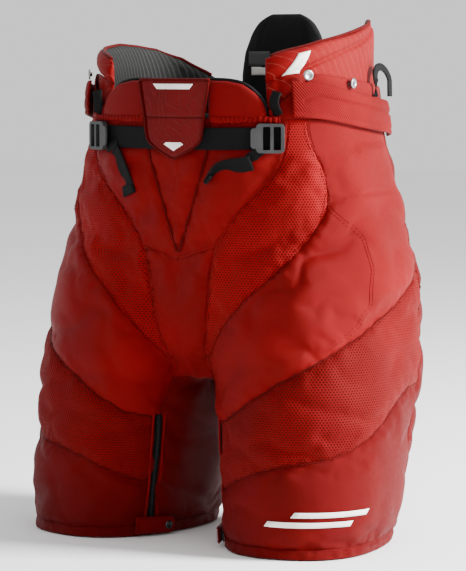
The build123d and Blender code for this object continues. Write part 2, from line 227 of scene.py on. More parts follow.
def inflate(obj, pressure, cap, frames=14, hold=None, shrink=-0.03, quality=5, **fabric):
    """Pressure in a closed form, with how far a point may move capped, in millimetres."""
    cloth = obj.modifiers.new("cloth", "CLOTH")
    settings = cloth.settings
    settings.quality, settings.shrink_min = quality, shrink
    settings.use_pressure, settings.uniform_pressure_force = True, pressure
    settings.effector_weights.gravity = 0
    for key, value in fabric.items():
        setattr(settings, key, value)
    cloth.collision_settings.use_collision = False
    if hold:
        obj.vertex_groups.new(name="hold").add(hold, 1.0, "REPLACE")
        settings.vertex_group_mass = "hold"
    cloth.point_cache.frame_end = frames
    for step in range(1, frames + 1):
        bpy.context.scene.frame_set(step)
    start = points_of(obj)
    apply_modifiers(obj)
    move = points_of(obj) - start
    size = np.linalg.norm(move, axis=1)
    move *= (cap * np.tanh(size / cap) / np.maximum(size, 1e-6))[:, None]
    set_points(obj, start + move)
    bpy.context.scene.frame_set(1)


def sweep(name, path, widths, half_w, half_t, closed=False, rounds=True):
    """Flat or round strip: an oval section swept along path, with its width along widths."""
    ring = [(1, 0.5), (0.9, 1), (0.3, 1), (-0.3, 1), (-0.9, 1), (-1, 0.5), (-1, -0.5), (-0.9, -1),
            (-0.3, -1), (0.3, -1), (0.9, -1), (1, -0.5)]
    if rounds:
        ring = [(math.cos(math.pi * k / 5), math.sin(math.pi * k / 5)) for k in range(10)]
    n, m = len(path), len(ring)
    verts = []
    for i, p in enumerate(path):
        a = path[(i - 1) % n] if closed or i else p
        b = path[(i + 1) % n] if closed or i < n - 1 else p
        tangent = (b - a).normalized()
        w = widths[i] if isinstance(widths, list) else widths
        w = (w - tangent * w.dot(tangent)).normalized()
        t = tangent.cross(w).normalized()
        verts += [p + w * (half_w * u) + t * (half_t * v) for u, v in ring]
    faces = ring_faces(n, m, closed=closed)
    return make(name, verts, faces if closed else faces + end_faces(n, m))


def smooth_path(points, step=3.0, closed=False):
    """Catmull-Rom through given points, at about even steps."""
    pts = [Vector(p) for p in points]
    n = len(pts)
    out = []
    for i in range(n if closed else n - 1):
        p0 = pts[(i - 1) % n] if closed or i else pts[i] * 2 - pts[i + 1]
        p1, p2 = pts[i], pts[(i + 1) % n]
        p3 = pts[(i + 2) % n] if closed or i < n - 2 else p2 * 2 - p1
        count = max(2, int((p2 - p1).length / step))
        for k in range(count):
            t = k / count
            out.append(0.5 * (2 * p1 + (p2 - p0) * t + (2 * p0 - 5 * p1 + 4 * p2 - p3) * t * t
                              + (3 * p1 - p0 - 3 * p2 + p3) * t ** 3))
    if not closed:
        out.append(pts[-1])
    return out


def front_path(points, step, y=0.0):
    """Smooth path through (x, z) points seen from the front."""
    return smooth_path([(x, y, z) for x, z in points], step)


def mirrored(obj, name):
    """Copy of a left piece on the right side."""
    mesh = obj.data.copy()
    copy = bpy.data.objects.new(name, mesh)
    bpy.context.scene.collection.objects.link(copy)
    mesh.transform(((-1, 0, 0, 0), (0, 1, 0, 0), (0, 0, 1, 0), (0, 0, 0, 1)))
    mesh.flip_normals()
    return copy


def join(name, objs):
    """One object out of several, materials kept."""
    verts, faces, slots, mats = [], [], [], []
    for obj in objs:
        base = len(verts)
        verts += [v.co * 1000 for v in obj.data.vertices]
        for poly in obj.data.polygons:
            faces.append([base + i for i in poly.vertices])
            mat = obj.data.materials[poly.material_index] if obj.data.materials else None
            if mat not in mats:
                mats.append(mat)
            slots.append(mats.index(mat))
        bpy.data.objects.remove(obj)
    whole = make(name, verts, faces)
    for mat in mats:
        whole.data.materials.append(mat)
    whole.data.polygons.foreach_set("material_index", slots)
    return whole


# ---- materials ----------------------------------------------------------------------------------
class Nodes:
    """Small wrapper that wires a node material."""

    def __init__(self, name, color, roughness, **sockets):
        self.mat = bpy.data.materials.new(name)
        self.mat.use_nodes = True
        self.tree = self.mat.node_tree
        self.shader = self.tree.nodes["Principled BSDF"]
        self.shader.inputs["Base Color"].default_value = (*color, 1)
        self.shader.inputs["Roughness"].default_value = roughness
        for key, value in sockets.items():
            self.shader.inputs[key.replace("_", " ")].default_value = value
        if color[0] > 4 * color[1]:  # dyed fibres colour their own sheen
            self.shader.inputs["Specular Tint"].default_value = (1.0, 0.16, 0.12, 1)
            self.shader.inputs["Sheen Tint"].default_value = (1.0, 0.10, 0.08, 1)

    def node(self, kind, **props):
        node = self.tree.nodes.new(kind)
        for key, value in props.items():
            setattr(node, key, value)
        return node

    def link(self, a, b):
        self.tree.links.new(a, b)

    def math(self, op, a, b=None, clamp=False):
        node = self.node("ShaderNodeMath", operation=op, use_clamp=clamp)
        for socket, value in zip(node.inputs, (a, b)):
            if value is None:
                continue
            if isinstance(value, (int, float)):
                socket.default_value = value
            else:
                self.link(value, socket)
        return node.outputs[0]

    def add(self, a, b):
        return self.math("ADD", a, b)

    def sub(self, a, b):
        return self.math("SUBTRACT", a, b)

    def mul(self, a, b):
        return self.math("MULTIPLY", a, b)

    def wave(self, socket, pitch):
        return self.math("SINE", self.mul(socket, TURN / pitch))

    def radius(self, a, b):
        return self.math("SQRT", self.add(self.mul(a, a), self.mul(b, b)))

    def axes(self, uv=True):
        split = self.node("ShaderNodeSeparateXYZ")
        self.link(self.coords(uv), split.inputs[0])
        return split.outputs

    def coords(self, uv=True):
        node = self.node("ShaderNodeTexCoord")
        return node.outputs["UV" if uv else "Object"]

    def noise(self, vector, scale, detail=3.0):
        node = self.node("ShaderNodeTexNoise")
        node.inputs["Scale"].default_value = scale
        node.inputs["Detail"].default_value = detail
        self.link(vector, node.inputs["Vector"])
        return node.outputs["Fac"]

    def mix(self, fac, a, b):
        """Colour b over colour a by fac; each is a colour or a socket."""
        node = self.node("ShaderNodeMix", data_type="RGBA")
        self.link(fac, node.inputs[0])
        for socket, value in ((node.inputs[6], a), (node.inputs[7], b)):
            if isinstance(value, tuple):
                socket.default_value = (*value, 1)
            else:
                self.link(value, socket)
        return node.outputs[2]

    def ramp(self, fac, low, high):
        node = self.node("ShaderNodeMapRange")
        node.inputs["From Min"].default_value = low
        node.inputs["From Max"].default_value = high
        self.link(fac, node.inputs["Value"])
        return node.outputs[0]

    def bump(self, height, distance, strength=1.0, after=None):
        node = self.node("ShaderNodeBump")
        node.inputs["Distance"].default_value = distance
        node.inputs["Strength"].default_value = strength
        self.link(height, node.inputs["Height"])
        if after:
            self.link(after, node.inputs["Normal"])
        return node.outputs[0]

    def color(self, socket):
        self.link(socket, self.shader.inputs["Base Color"])

    def rough(self, socket):
        self.link(socket, self.shader.inputs["Roughness"])

    def normal(self, socket):
        self.link(socket, self.shader.inputs["Normal"])


def woven(name, color, rough=0.6, pitch=0.0011, depth=0.0002, sheen=0.06, vary=0.12, uv=True):
    """Plain weave: crossed threads, a slow colour drift and light scuffing."""
    n = Nodes(name, color, rough, Sheen_Weight=sheen, Sheen_Roughness=0.5,
              Specular_IOR_Level=0.18 if max(color) > 0.05 else 0.12)
    x, y, z = n.axes(uv)
    u, v = (x, y) if uv else (n.add(x, y), z)
    weave = n.mul(n.wave(u, pitch), n.wave(v, pitch))
    obj = n.coords(False)
    drift, scuff = n.noise(obj, 9.0), n.noise(obj, 160.0, 5.0)
    shade = n.add(n.mul(weave, 0.10), n.mul(drift, 1.0))
    dark = tuple(c * (1 - 2.2 * vary) for c in color)
    lite = tuple(min(1, c * (1 + vary)) for c in color)
    n.color(n.mix(n.ramp(shade, 0.30, 0.72), dark, lite))
    n.rough(n.add(n.mul(scuff, 0.22), rough - 0.12))
    n.normal(n.bump(weave, depth, 0.8, n.bump(scuff, 0.0004, 0.5)))
    return n.mat


def perforated(name, color, hole_shade, pitch=0.0032, rough=0.7):
    """Warp-knit mesh: rows of small holes painted dark as painted shade inside the openings, every second row
    shifted.
    """
    n = Nodes(name, color, rough, Sheen_Weight=0.12, Specular_IOR_Level=0.18)
    u, v, _ = n.axes()
    row = n.math("DIVIDE", v, pitch * 0.87)
    shift = n.mul(n.math("MODULO", n.math("FLOOR", row), 2.0), 0.5)
    cu = n.sub(n.math("FRACT", n.add(n.math("DIVIDE", u, pitch), shift)), 0.5)
    cv = n.sub(n.math("FRACT", row), 0.5)
    open_ = n.ramp(n.radius(cu, cv), 0.18, 0.36)
    drift = n.noise(n.coords(False), 11.0)
    body = n.mix(n.ramp(drift, 0.3, 0.7), tuple(c * 0.72 for c in color), color)
    # The holes take the hole colour: painted shade inside the openings.
    n.color(n.mix(open_, hole_shade, body))
    n.normal(n.bump(open_, 0.0007, 0.9))
    return n.mat


def ribbed(name, color, pitch=0.0030):
    """Diagonal rib knit, as on the waist flaps."""
    n = Nodes(name, color, 0.62, Sheen_Weight=0.06, Specular_IOR_Level=0.15)
    u, v, _ = n.axes()
    diag = n.add(u, n.mul(v, 0.75))
    rib = n.wave(diag, pitch)
    fine = n.wave(n.sub(v, n.mul(u, 0.4)), 0.0014)
    drift = n.noise(n.coords(False), 14.0)
    shade = n.add(n.mul(rib, 0.12), drift)
    n.color(n.mix(n.ramp(shade, 0.25, 0.75), tuple(c * 0.55 for c in color), color))
    n.normal(n.bump(rib, 0.0004, 0.8, n.bump(fine, 0.0002, 0.6)))
    return n.mat


def moulded(name, color, rough=0.35, grain=420.0, depth=0.00012, coat=0.0, metallic=0.0):
    """Moulded plastic or enamelled metal: fine grain, worn patches of gloss."""
    n = Nodes(name, color, rough, Coat_Weight=coat, Metallic=metallic)
    obj = n.coords(False)
    fine, wear = n.noise(obj, grain, 2.0), n.noise(obj, 40.0, 4.0)
    n.color(n.mix(n.ramp(wear, 0.35, 0.8), color, tuple(min(1, c * 1.35 + 0.01) for c in color)))
    n.rough(n.add(n.mul(wear, 0.25), rough - 0.12))
    n.normal(n.bump(fine, depth, 0.6))
    return n.mat


RED = (0.140, 0.0019, 0.0036)
RED_DEEP = (0.090, 0.0012, 0.0023)
M = {
    "nylon": woven("nylon", RED, 0.52, 0.0010, 0.00018),
    "cordura": woven("cordura", RED_DEEP, 0.58, 0.0016, 0.0003, 0.02),
    # Each mesh gets its colour and a darker hole colour, the painted shade inside its holes.
    "mesh": perforated("mesh", (0.200, 0.0027, 0.0050), (0.030, 0.0004, 0.0008)),
    # The thigh panels get a darker copy of the hip mesh: painted shade on the lower panels, holes included.
    "mesh_shaded": perforated("mesh_shaded", (0.125, 0.0017, 0.0031), (0.018, 0.0003, 0.0005)),
    "rib": ribbed("rib", (0.145, 0.0020, 0.0037)),
    "thread": woven("thread", (0.075, 0.0010, 0.0019), 0.6, 0.0005, 0.0001, uv=False),
    "piping": woven("piping", (0.062, 0.0008, 0.0015), 0.5, 0.0008, 0.0002, uv=False),
    "webbing": woven("webbing", (0.0020, 0.0020, 0.0022), 0.55, 0.0022, 0.0005, 0.0, uv=False),
    "lining": woven("lining", (0.042, 0.042, 0.040), 0.85, 0.0018, 0.0004, 0.05, uv=False),
    "black": woven("black", (0.0060, 0.0060, 0.0066), 0.65, 0.0014, 0.0003, 0.0, uv=False),
    "buckle": moulded("buckle", (0.017, 0.017, 0.018), 0.45),
    "button": moulded("button", (0.007, 0.007, 0.007), 0.28, coat=0.3),
    "chrome": moulded("chrome", (0.24, 0.24, 0.24), 0.34, 200.0, 0.00005, metallic=1.0),
    "zipmetal": moulded("zipmetal", (0.02, 0.02, 0.02), 0.35, metallic=0.6),
    "guard": moulded("guard", (0.7, 0.7, 0.68), 0.45),
    "cream": moulded("cream", (0.75, 0.72, 0.66), 0.5, 300.0),
    "white": woven("white", (0.72, 0.70, 0.66), 0.6, 0.0009, 0.0002, 0.0, uv=False),
    "greylabel": woven("greylabel", (0.07, 0.07, 0.07), 0.6, 0.0009, 0.0002, 0.0, uv=False),
}
SLOTS = {"nylon": "red_nylon", "thread": "red_nylon", "piping": "red_nylon", "cordura": "red_cordura",
         "mesh": "stretch_mesh", "mesh_shaded": "stretch_mesh", "rib": "ribbed_knit",
         "webbing": "black_webbing", "lining": "lining", "black": "black_pad", "white": "black_pad",
         "greylabel": "black_pad", "buckle": "buckle_plastic", "button": "button_plastic",
         "chrome": "button_plastic", "zipmetal": "zipper_metal", "guard": "guard_plastic",
         "cream": "glossy_laminate"}


def dress(obj, key):
    obj.data.materials.clear()
    obj.data.materials.append(M[key])
    return obj


def strip(name, path, widths, half_w, half_t, key, body_name, **form):
    """A swept strip, dressed, that moves with one body, or has its placement baked in where a side is named.
    """
    obj = dress(sweep(name, path, widths, half_w, half_t, **form), key)
    if body_name in ("left", "right"):
        legwise(obj, body_name)
    else:
        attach(obj, body_name)
    return obj


def legwise(obj, side):
    """Cloth that runs over the hip bend, with its placement baked into its points."""
    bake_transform(obj)


# ---- sewn shell: one surface, cut along its seams ------------------------------------------------
def loft(rings):
    """Closed form through rings of points."""
    size = len(rings), len(rings[0])
    return [p for ring in rings for p in ring], ring_faces(*size) + end_faces(*size)


SKIN_VOXEL = 0.0058  # metres
HEM_CUT, WAIST_CUT = 0.0015, 0.489  # metres


def body_surface():
    """Torso and both legs in one skin, open at the waist and at the hems."""
    verts, faces = loft([[torso_point(a, z) for a in range(0, 360, 4)] for z in range(186, 512, 6)])
    for s in (1, -1):
        rings = []
        for z in range(-18, 349, 6):
            ring = [leg_point(a, z) for a in range(0, 360, 4)]
            rings.append([on_side(p, s) for p in (ring if s > 0 else ring[::-1])])
        lv, lf = loft(rings)
        faces += [tuple(i + len(verts) for i in f) for f in lf]
        verts += lv
    obj = make("body_surface", verts, faces)
    remesh = obj.modifiers.new("skin", "REMESH")
    remesh.mode, remesh.voxel_size = "VOXEL", SKIN_VOXEL
    even = obj.modifiers.new("even", "SMOOTH")
    even.factor, even.iterations = 0.5, 8
    apply_modifiers(obj)
    bm = bmesh.new()
    bm.from_mesh(obj.data)
    cuts = ((HEM_CUT, (0, 0, -1), True), (WAIST_CUT, (0, 0, 1), True), (0, (1, 0, 0), False))
    for z, facing, clear in cuts:
        geom = bm.verts[:] + bm.edges[:] + bm.faces[:]
        bmesh.ops.bisect_plane(bm, geom=geom, dist=1e-5, plane_co=(0, 0, z), plane_no=facing,
                               clear_outer=clear)
    bm.to_mesh(obj.data)
    bm.free()
    return obj


def signed_polygon(px, pz, corners):
    """Signed distance in front view to a closed outline, positive inside."""
    c = np.array(corners, float)
    d = np.roll(c, -1, 0)
    best = np.full(px.shape, 1e9)
    inside = np.zeros(px.shape, bool)
    for (x0, z0), (x1, z1) in zip(c, d):
        ex, ez = x1 - x0, z1 - z0
        t = np.clip(((px - x0) * ex + (pz - z0) * ez) / (ex * ex + ez * ez), 0, 1)
        best = np.minimum(best, np.hypot(px - x0 - t * ex, pz - z0 - t * ez))
        if z0 != z1:
            hit = ((z0 > pz) != (z1 > pz)) & (px < (x1 - x0) * (pz - z0) / (z1 - z0) + x0)
            inside ^= hit
    return np.where(inside, best, -best)


MESH_FRONT = [(131, 505), (131, 480), (129, 452), (122, 431), (104, 409), (76, 381), (51, 346), (43, 310),
              (35, 255), (22, 205)]
MESH_REAR = [(22, 205), (60, 252), (92, 286), (128, 318), (151, 347), (167, 378), (169, 402), (163, 431),
             (156, 450), (149, 470), (145, 505)]
MESH_OUTLINE = [(p.x, p.z) for p in front_path(MESH_FRONT, 5.0) + front_path(MESH_REAR, 5.0)[1:]]
# Seams as heights over the angle round the leg, or as places over the height.
THIGH_SEAM = [(-60, 130), (-23, 147), (-10, 163), (0, 178), (15, 199), (29, 218), (48, 241), (80, 272),
              (123, 321), (150, 340)]
CUFF_SEAM = [(-60, 58), (-30, 70), (0, 96), (16, 104), (35, 112), (52, 124), (65, 138), (87, 166), (105, 178),
             (150, 182)]
REAR_SEAM = [(0, 26), (217, 62), (520, 60)]
INNER_SEAM = [(0, 54), (12, 53), (150, 40), (205, 22), (247, 34), (305, 40), (328, 44), (340, 48)]
VEE_SEAM = [(331, 0), (454, 41), (500, 44)]
GORE_EDGE = [(329, 80), (346, 95), (377, 120), (402, 135), (437, 142), (475, 140), (505, 138)]


def leg_angle(p):
    """Angle round the leg, in degrees from the front towards the outside."""
    cx = np.interp(p[:, 2], LEG[:, 0], LEG[:, 1])
    cy = np.interp(p[:, 2], LEG[:, 0], LEG[:, 2]) + HIP_Y
    return np.degrees(np.arctan2(np.abs(p[:, 0]) - cx, cy - p[:, 1]))


def seam_fields(p):
    """The seams as fields over points: each is zero on its seam, with the region that it crosses."""
    x, u, z = np.abs(p[:, 0]), p[:, 1] - HIP_Y, p[:, 2]
    theta = leg_angle(p)
    rear = u - along(z, REAR_SEAM)
    inner = along(z, INNER_SEAM) - x
    front, everywhere = rear < 4, np.ones(len(z), bool)
    return {
        "hem": (z - 13.0, everywhere),
        "rear": (rear, everywhere),
        "seat": (z - 205 - 0.12 * x, rear > -4),
        "inner": (inner, front & (z < 346)),
        "crotch": (z - 186, front & (inner > -4)),
        "belly": (z - 327.5 - 0.33 * x, (u < 0) & (x < 50)),
        "vee": (along(z, VEE_SEAM) - x, (u < 0) & (z > 327)),
        "mesh": (signed_polygon(x, z, MESH_OUTLINE), front & (u < 55) & (z > 200)),
        "thigh": (z - along(theta, THIGH_SEAM), front & (inner < 4)),
        "cuff": (z - along(theta, CUFF_SEAM), front & (inner < 4)),
    }


def panel_of(p):
    """Name of the panel that each point lies in, without its side."""
    f = {k: v[0] for k, v in seam_fields(p).items()}
    x, u, z = np.abs(p[:, 0]), p[:, 1] - HIP_Y, p[:, 2]
    names = np.full(len(p), "side_panel", dtype="<U16")
    names[(f["thigh"] < 0)] = "thigh_mesh"
    names[(f["cuff"] < 0)] = "cuff_panel"
    names[(f["mesh"] > 0) & (z > 203) & (u < 55)] = "hip_mesh"
    names[(z > 329) & (u < 0) & (f["mesh"] < 0) & (x < along(z, GORE_EDGE))] = "front_gore"
    names[(f["vee"] > 0) & (u < 0) & (z > 331)] = "fly_panel"
    names[(f["inner"] > 0) & (z < 329)] = "inner_thigh"
    names[(f["inner"] > 0) & (f["belly"] < 0) & (f["crotch"] > 0)] = "crotch_gusset"
    names[(f["rear"] > 0)] = "rear_thigh"
    names[(f["rear"] > 0) & (f["seat"] > 0)] = "seat_panel"
    names[f["hem"] < 0] = "hem"
    return names


def cut_seams(obj):
    """Split the skin's edges where they cross a seam, so that panels end cleanly."""
    bm = bmesh.new()
    bm.from_mesh(obj.data)
    for name in ("hem", "rear", "seat", "inner", "crotch", "belly", "vee", "mesh", "thigh", "cuff"):
        bm.verts.ensure_lookup_table()
        pts = np.array([v.co[:] for v in bm.verts]) * 1000
        field, domain = seam_fields(pts)[name]
        value = {v: (field[i], domain[i]) for i, v in enumerate(bm.verts)}
        fresh = []
        for edge in list(bm.edges):
            (fa, da), (fb, db) = value[edge.verts[0]], value[edge.verts[1]]
            if not (da or db) or fa * fb >= 0:
                continue
            t = fa / (fa - fb)
            if t < 0.08:
                fresh.append(edge.verts[0])
            elif t > 0.92:
                fresh.append(edge.verts[1])
            else:
                _, vert = bmesh.utils.edge_split(edge, edge.verts[0], t)
                fresh.append(vert)
        bmesh.ops.connect_verts(bm, verts=list(set(fresh)), check_degenerate=False)
    bmesh.ops.triangulate(bm, faces=[f for f in bm.faces if len(f.verts) > 4])
    bm.to_mesh(obj.data)
    bm.free()
    obj.data.update()


def kind_of(name):
    """A panel's name without its side."""
    return name.rsplit("_", 1)[0]


def face_panels(obj):
    """Name of each face's panel, with its side."""
    mids = np.empty(len(obj.data.polygons) * 3)
    obj.data.polygons.foreach_get("center", mids)
    mids = mids.reshape(-1, 3) * 1000
    side = np.where(mids[:, 0] > 0, "left", "right")
    return np.char.add(np.char.add(panel_of(mids), "_"), side)


body = body_surface()
cut_seams(body)
panels = face_panels(body)
edge_faces = {}
for poly in body.data.polygons:
    for key in poly.edge_keys:
        edge_faces.setdefault(key, []).append(poly.index)
seams = {}
MERGED = {"crotch_gusset", "fly_panel"}
for key, pair in edge_faces.items():
    if len(pair) == 2 and panels[pair[0]] != panels[pair[1]]:
        a, b = sorted((panels[pair[0]], panels[pair[1]]))
        if kind_of(a) == kind_of(b) and kind_of(a) in MERGED:
            continue
        seams.setdefault((a, b), []).append(key)
pinned = sorted({i for keys in seams.values() for key in keys for i in key}
                | {i for key, pair in edge_faces.items() if len(pair) == 1 for i in key})

rest = points_of(body)
normal = normals_of(body)


def distance_to(points, seeds):
    """Distance of each point from the nearest seed."""
    tree = KDTree(len(seeds))
    for i, s in enumerate(seeds):
        tree.insert(s, i)
    tree.balance()
    return np.array([tree.find(p)[2] for p in points])


seam_distance = distance_to(rest, rest[pinned])


def ridge(phase, sharp=1.0):
    """Rounded folds from a phase: crests wide, valleys narrow."""
    return (1 - np.abs(np.sin(phase)) ** sharp) * -1 + 0.5


def wander(p, scale, seed):
    """Slow smooth noise from a few seeded waves."""
    local = np.random.default_rng(seed)
    total = np.zeros(len(p))
    for _ in range(7):
        k = local.normal(size=3)
        k /= np.linalg.norm(k)
        total += np.sin(p @ k * (TURN / (scale * local.uniform(0.7, 1.5))) + local.uniform(0, 6.28))
    return total / 3.0


# Folds: panels, where they fade out, height, run across and up, spacing, wobble with its scale and
# seed, and sharpness of the crests.
FOLDS = [
    (("side_panel",), "mesh", 3.2, 0.83, -0.55, 15, 0.9, 70, 5, 0.8),
    (("front_gore", "fly_panel"), "strap", 1.6, 1, 0, 12, 0.6, 80, 6, 0.9),
    (("side_panel",), "front", 1.8, 0.45, 1, 34, 0.8, 95, 8, 0.8),
    (("thigh_mesh",), "nowhere", 1.3, 0.5, 1, 17, 0.8, 60, 9, 0.9),
    (("cuff_panel",), "nowhere", 1.0, 0.8, -0.5, 24, 0.9, 80, 10, 0.7),
    (("seat_panel", "rear_thigh"), "nowhere", 1.5, 0, 1, 26, 0.9, 120, 11, 0.9),
    (("inner_thigh", "crotch_gusset"), "nowhere", 1.2, 1, -0.6, 15, 0.7, 60, 12, 0.9),
]


def fold_field(p):
    """Height of the sewn-in folds and puckers, in millimetres."""
    x, u, z = np.abs(p[:, 0]), p[:, 1] - HIP_Y, p[:, 2]
    names = panel_of(p)
    mesh_gap = -signed_polygon(x, z, MESH_OUTLINE)
    fades = {"mesh": np.exp(-np.clip(mesh_gap, 0, None) / 42) * (z < 400),
             "strap": np.clip((z - 340) / 120, 0, 1), "front": np.clip(-u / 60, 0, 1), "nowhere": 1.0}
    h = 0.45 * wander(p, 90, 3) + 0.2 * wander(p, 38, 4)
    for kinds, fade, height, across, up, spacing, wobble, scale, seed, sharp in FOLDS:
        phase = (across * x + up * z) / spacing + wobble * wander(p, scale, seed)
        h += height * fades[fade] * np.isin(names, kinds) * ridge(phase, sharp)
    # Short puckers beside every seam.
    edge = np.exp(-seam_distance / 7.0)
    h += 0.7 * edge * wander(p, 13, 13)
    return h


FOLD_GAIN, SEAM_GRIP = 1.9, 9.0
STUFFING, STUFFING_CAP = 3.0, 3.4
VALLEY = 1.6
FLOOR_GAP = 1.5

settle = np.clip(seam_distance / SEAM_GRIP, 0, 1)
set_points(body, rest + normal * (FOLD_GAIN * fold_field(rest) * (0.25 + 0.75 * settle))[:, None])

inflate(body, STUFFING, STUFFING_CAP, frames=16, hold=[int(i) for i in pinned], shrink=-0.035,
        quality=4, mass=0.3, tension_stiffness=12, compression_stiffness=12, shear_stiffness=5,
        bending_stiffness=0.6)
skin = points_of(body)
skin_normal = normals_of(body)
# Every seam sits in a valley between the padded panels.
valley = VALLEY * np.exp(-(seam_distance / 4.5) ** 2) - VALLEY * (1 - np.exp(-seam_distance / 16.0))
floor_keep = np.clip(skin[:, 2] / 14.0, 0, 1)
skin = skin - skin_normal * (valley * floor_keep)[:, None]
skin[:, 2] = np.maximum(skin[:, 2], FLOOR_GAP)
# The strap, the flaps and the pads press the cloth flat where they lie on it.
strap = np.clip((20 - np.abs(skin[:, 2] - BELT_Z)) / 7, 0, 1) * (skin[:, 1] < HIP_Y - 20)
cover = np.clip((skin[:, 2] - 452) / 10, 0, 1) * (np.abs(skin[:, 0]) > 120)
press = np.maximum(strap, cover)[:, None]
skin = skin * (1 - press) + (rest - normal * 1.2) * press
set_points(body, skin)


def planar_uv(obj, kind):
    """UVs in metres: round the leg or the torso, and up."""
    mesh = obj.data
    p = points_of(obj)
    x, u = np.abs(p[:, 0]), p[:, 1] - HIP_Y
    if kind in ("thigh_mesh", "cuff_panel", "rear_thigh", "inner_thigh", "hem"):
        around = leg_angle(p) * (math.pi / 180) * 0.118
    else:
        around = np.arctan2(x / 190, -u / 135) * 0.165
    layer = mesh.uv_layers.new(name="UVMap")
    idx = np.empty(len(mesh.loops), dtype=int)
    mesh.loops.foreach_get("vertex_index", idx)
    uv = np.stack([around[idx] + 1.0, p[idx, 2] * 0.001 + 1.0], 1)
    layer.data.foreach_set("uv", uv.ravel())


# The thigh mesh takes the darker copy of the stretch mesh: painted shade.
LOOK = {"side_panel": "nylon", "thigh_mesh": "mesh_shaded", "cuff_panel": "cordura", "hip_mesh": "mesh",
        "front_gore": "nylon", "fly_panel": "nylon", "inner_thigh": "cordura", "crotch_gusset": "nylon",
        "rear_thigh": "cordura", "seat_panel": "cordura", "hem": "cordura"}
groups = {}
for index, name in enumerate(panels):
    kind = kind_of(name)
    groups.setdefault(kind if kind in MERGED else name, []).append(index)
shell = {}


def cut_out(name, members, place, turn=1):
    """New piece from some of the skin's faces; place gives each point, turn -1 faces it inwards."""
    polygons = [body.data.polygons[f].vertices[:] for f in members]
    used = sorted({v for f in polygons for v in f})
    remap = {v: i for i, v in enumerate(used)}
    return make(name, [place(v) for v in used], [[remap[v] for v in f[::turn]] for f in polygons])


for name, members in sorted(groups.items()):
    obj = cut_out(f"{name}_cloth", members, lambda v: Vector(skin[v]))
    kind = name.replace("_left", "").replace("_right", "")
    fine = obj.modifiers.new("fine", "SUBSURF")
    fine.levels = fine.render_levels = 1
    fine.boundary_smooth = "PRESERVE_CORNERS"
    thick = obj.modifiers.new("thick", "SOLIDIFY")
    thick.thickness, thick.offset = 0.003, -1
    apply_modifiers(obj)
    obj.data.shade_smooth()
    planar_uv(obj, kind)
    dress(obj, LOOK[kind])
    shell[name] = obj
    nodes = [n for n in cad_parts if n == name]
    if name.startswith("seat_panel"):
        nodes = ["seat_panel"]
    if nodes:
        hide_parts(*nodes)
    if kind in MERGED:
        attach(obj, "pelvis")
    else:
        legwise(obj, name.rsplit("_", 1)[1])
for side in ("left", "right"):
    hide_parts(f"thigh_panel_{side}")
fine_verts, fine_faces = [], []
for obj in shell.values():
    base = len(fine_verts)
    fine_verts += [tuple(p) for p in points_of(obj)]
    fine_faces += [tuple(v + base for v in f.vertices) for f in obj.data.polygons]
bvh = BVHTree.FromPolygons(fine_verts, fine_faces)


# ---- lining, hem rolls and thigh guards ----------------------------------------------------------
LINING_DEPTH = 10.5
for side, s in SIDES:
    members = [i for i, n in enumerate(panels) if n.endswith(side)]

    def lining_point(v, left=side == "left"):
        p = Vector(rest[v] - normal[v] * LINING_DEPTH)
        return Vector((max(p.x, 0.0) if left else min(p.x, 0.0), p.y, max(p.z, 4.0)))

    lining = cut_out(f"lining_{side}", members, lining_point, -1)
    soften = lining.modifiers.new("soften", "SMOOTH")
    soften.factor, soften.iterations = 0.5, 6
    apply_modifiers(lining)
    dress(lining, "lining")
    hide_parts(f"leg_padding_{side}", f"hip_padding_{side}")
    if side == "left":
        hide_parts("belly_padding", "seat_padding", "crotch_padding")
    legwise(lining, side)

    ring = [leg_point(a, 7.0, 6.2) for a in range(0, 360, 5)]
    ring = [on_side(p, s) for p in ring]
    roll = sweep(f"hem_roll_{side}", ring, UP_AXIS, 5.4, 6.0, closed=True)
    dress(roll, "cordura")
    planar_uv(roll, "hem")
    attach(roll, f"{side}_leg")

    verts = [on_side(leg_point(a, z, 7.5), s)
             for z in np.linspace(42, 192, 26) for a in np.linspace(8, 72, 24)]
    plate = make(f"thigh_plate_{side}", verts, grid_faces(24, 26))
    thicken(plate, 2)
    dress(plate, "guard")
    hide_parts(f"thigh_guard_{side}")
    legwise(plate, side)

waist_ring = [torso_point(a, WAIST_SEAM, 7.0) for a in range(0, 360, 4)]
strip("waist_roll", waist_ring, UP_AXIS, 4.5, 5.5, "lining", "pelvis", closed=True)


# ---- seams: piping and rows of stitches ----------------------------------------------------------
def chains(keys):
    """Ordered runs of points along a seam's edges."""
    near = {}
    for a, b in keys:
        near.setdefault(a, []).append(b)
        near.setdefault(b, []).append(a)
    left = {tuple(sorted(k)) for k in keys}
    runs = []
    starts = [v for v in near if len(near[v]) != 2] + list(near)
    for start in starts:
        for step in near[start]:
            if tuple(sorted((start, step))) not in left:
                continue
            run, here = [start, step], step
            left.discard(tuple(sorted((start, step))))
            while True:
                ahead = [n for n in near[here] if tuple(sorted((here, n))) in left]
                if not ahead:
                    break
                left.discard(tuple(sorted((here, ahead[0]))))
                here = ahead[0]
                run.append(here)
            runs.append(run)
    return runs


def even(points, step):
    """Resample a run of points at even steps, a little smoothed."""
    p = np.array(points, float)
    for _ in range(3):
        p[1:-1] = (p[:-2] + 2 * p[1:-1] + p[2:]) / 4
    d = np.r_[0, np.cumsum(np.linalg.norm(np.diff(p, axis=0), axis=1))]
    if d[-1] < step * 2:
        return []
    at = np.arange(step / 2, d[-1], step)
    return [Vector([np.interp(a, d, p[:, k]) for k in range(3)]) for a in at]


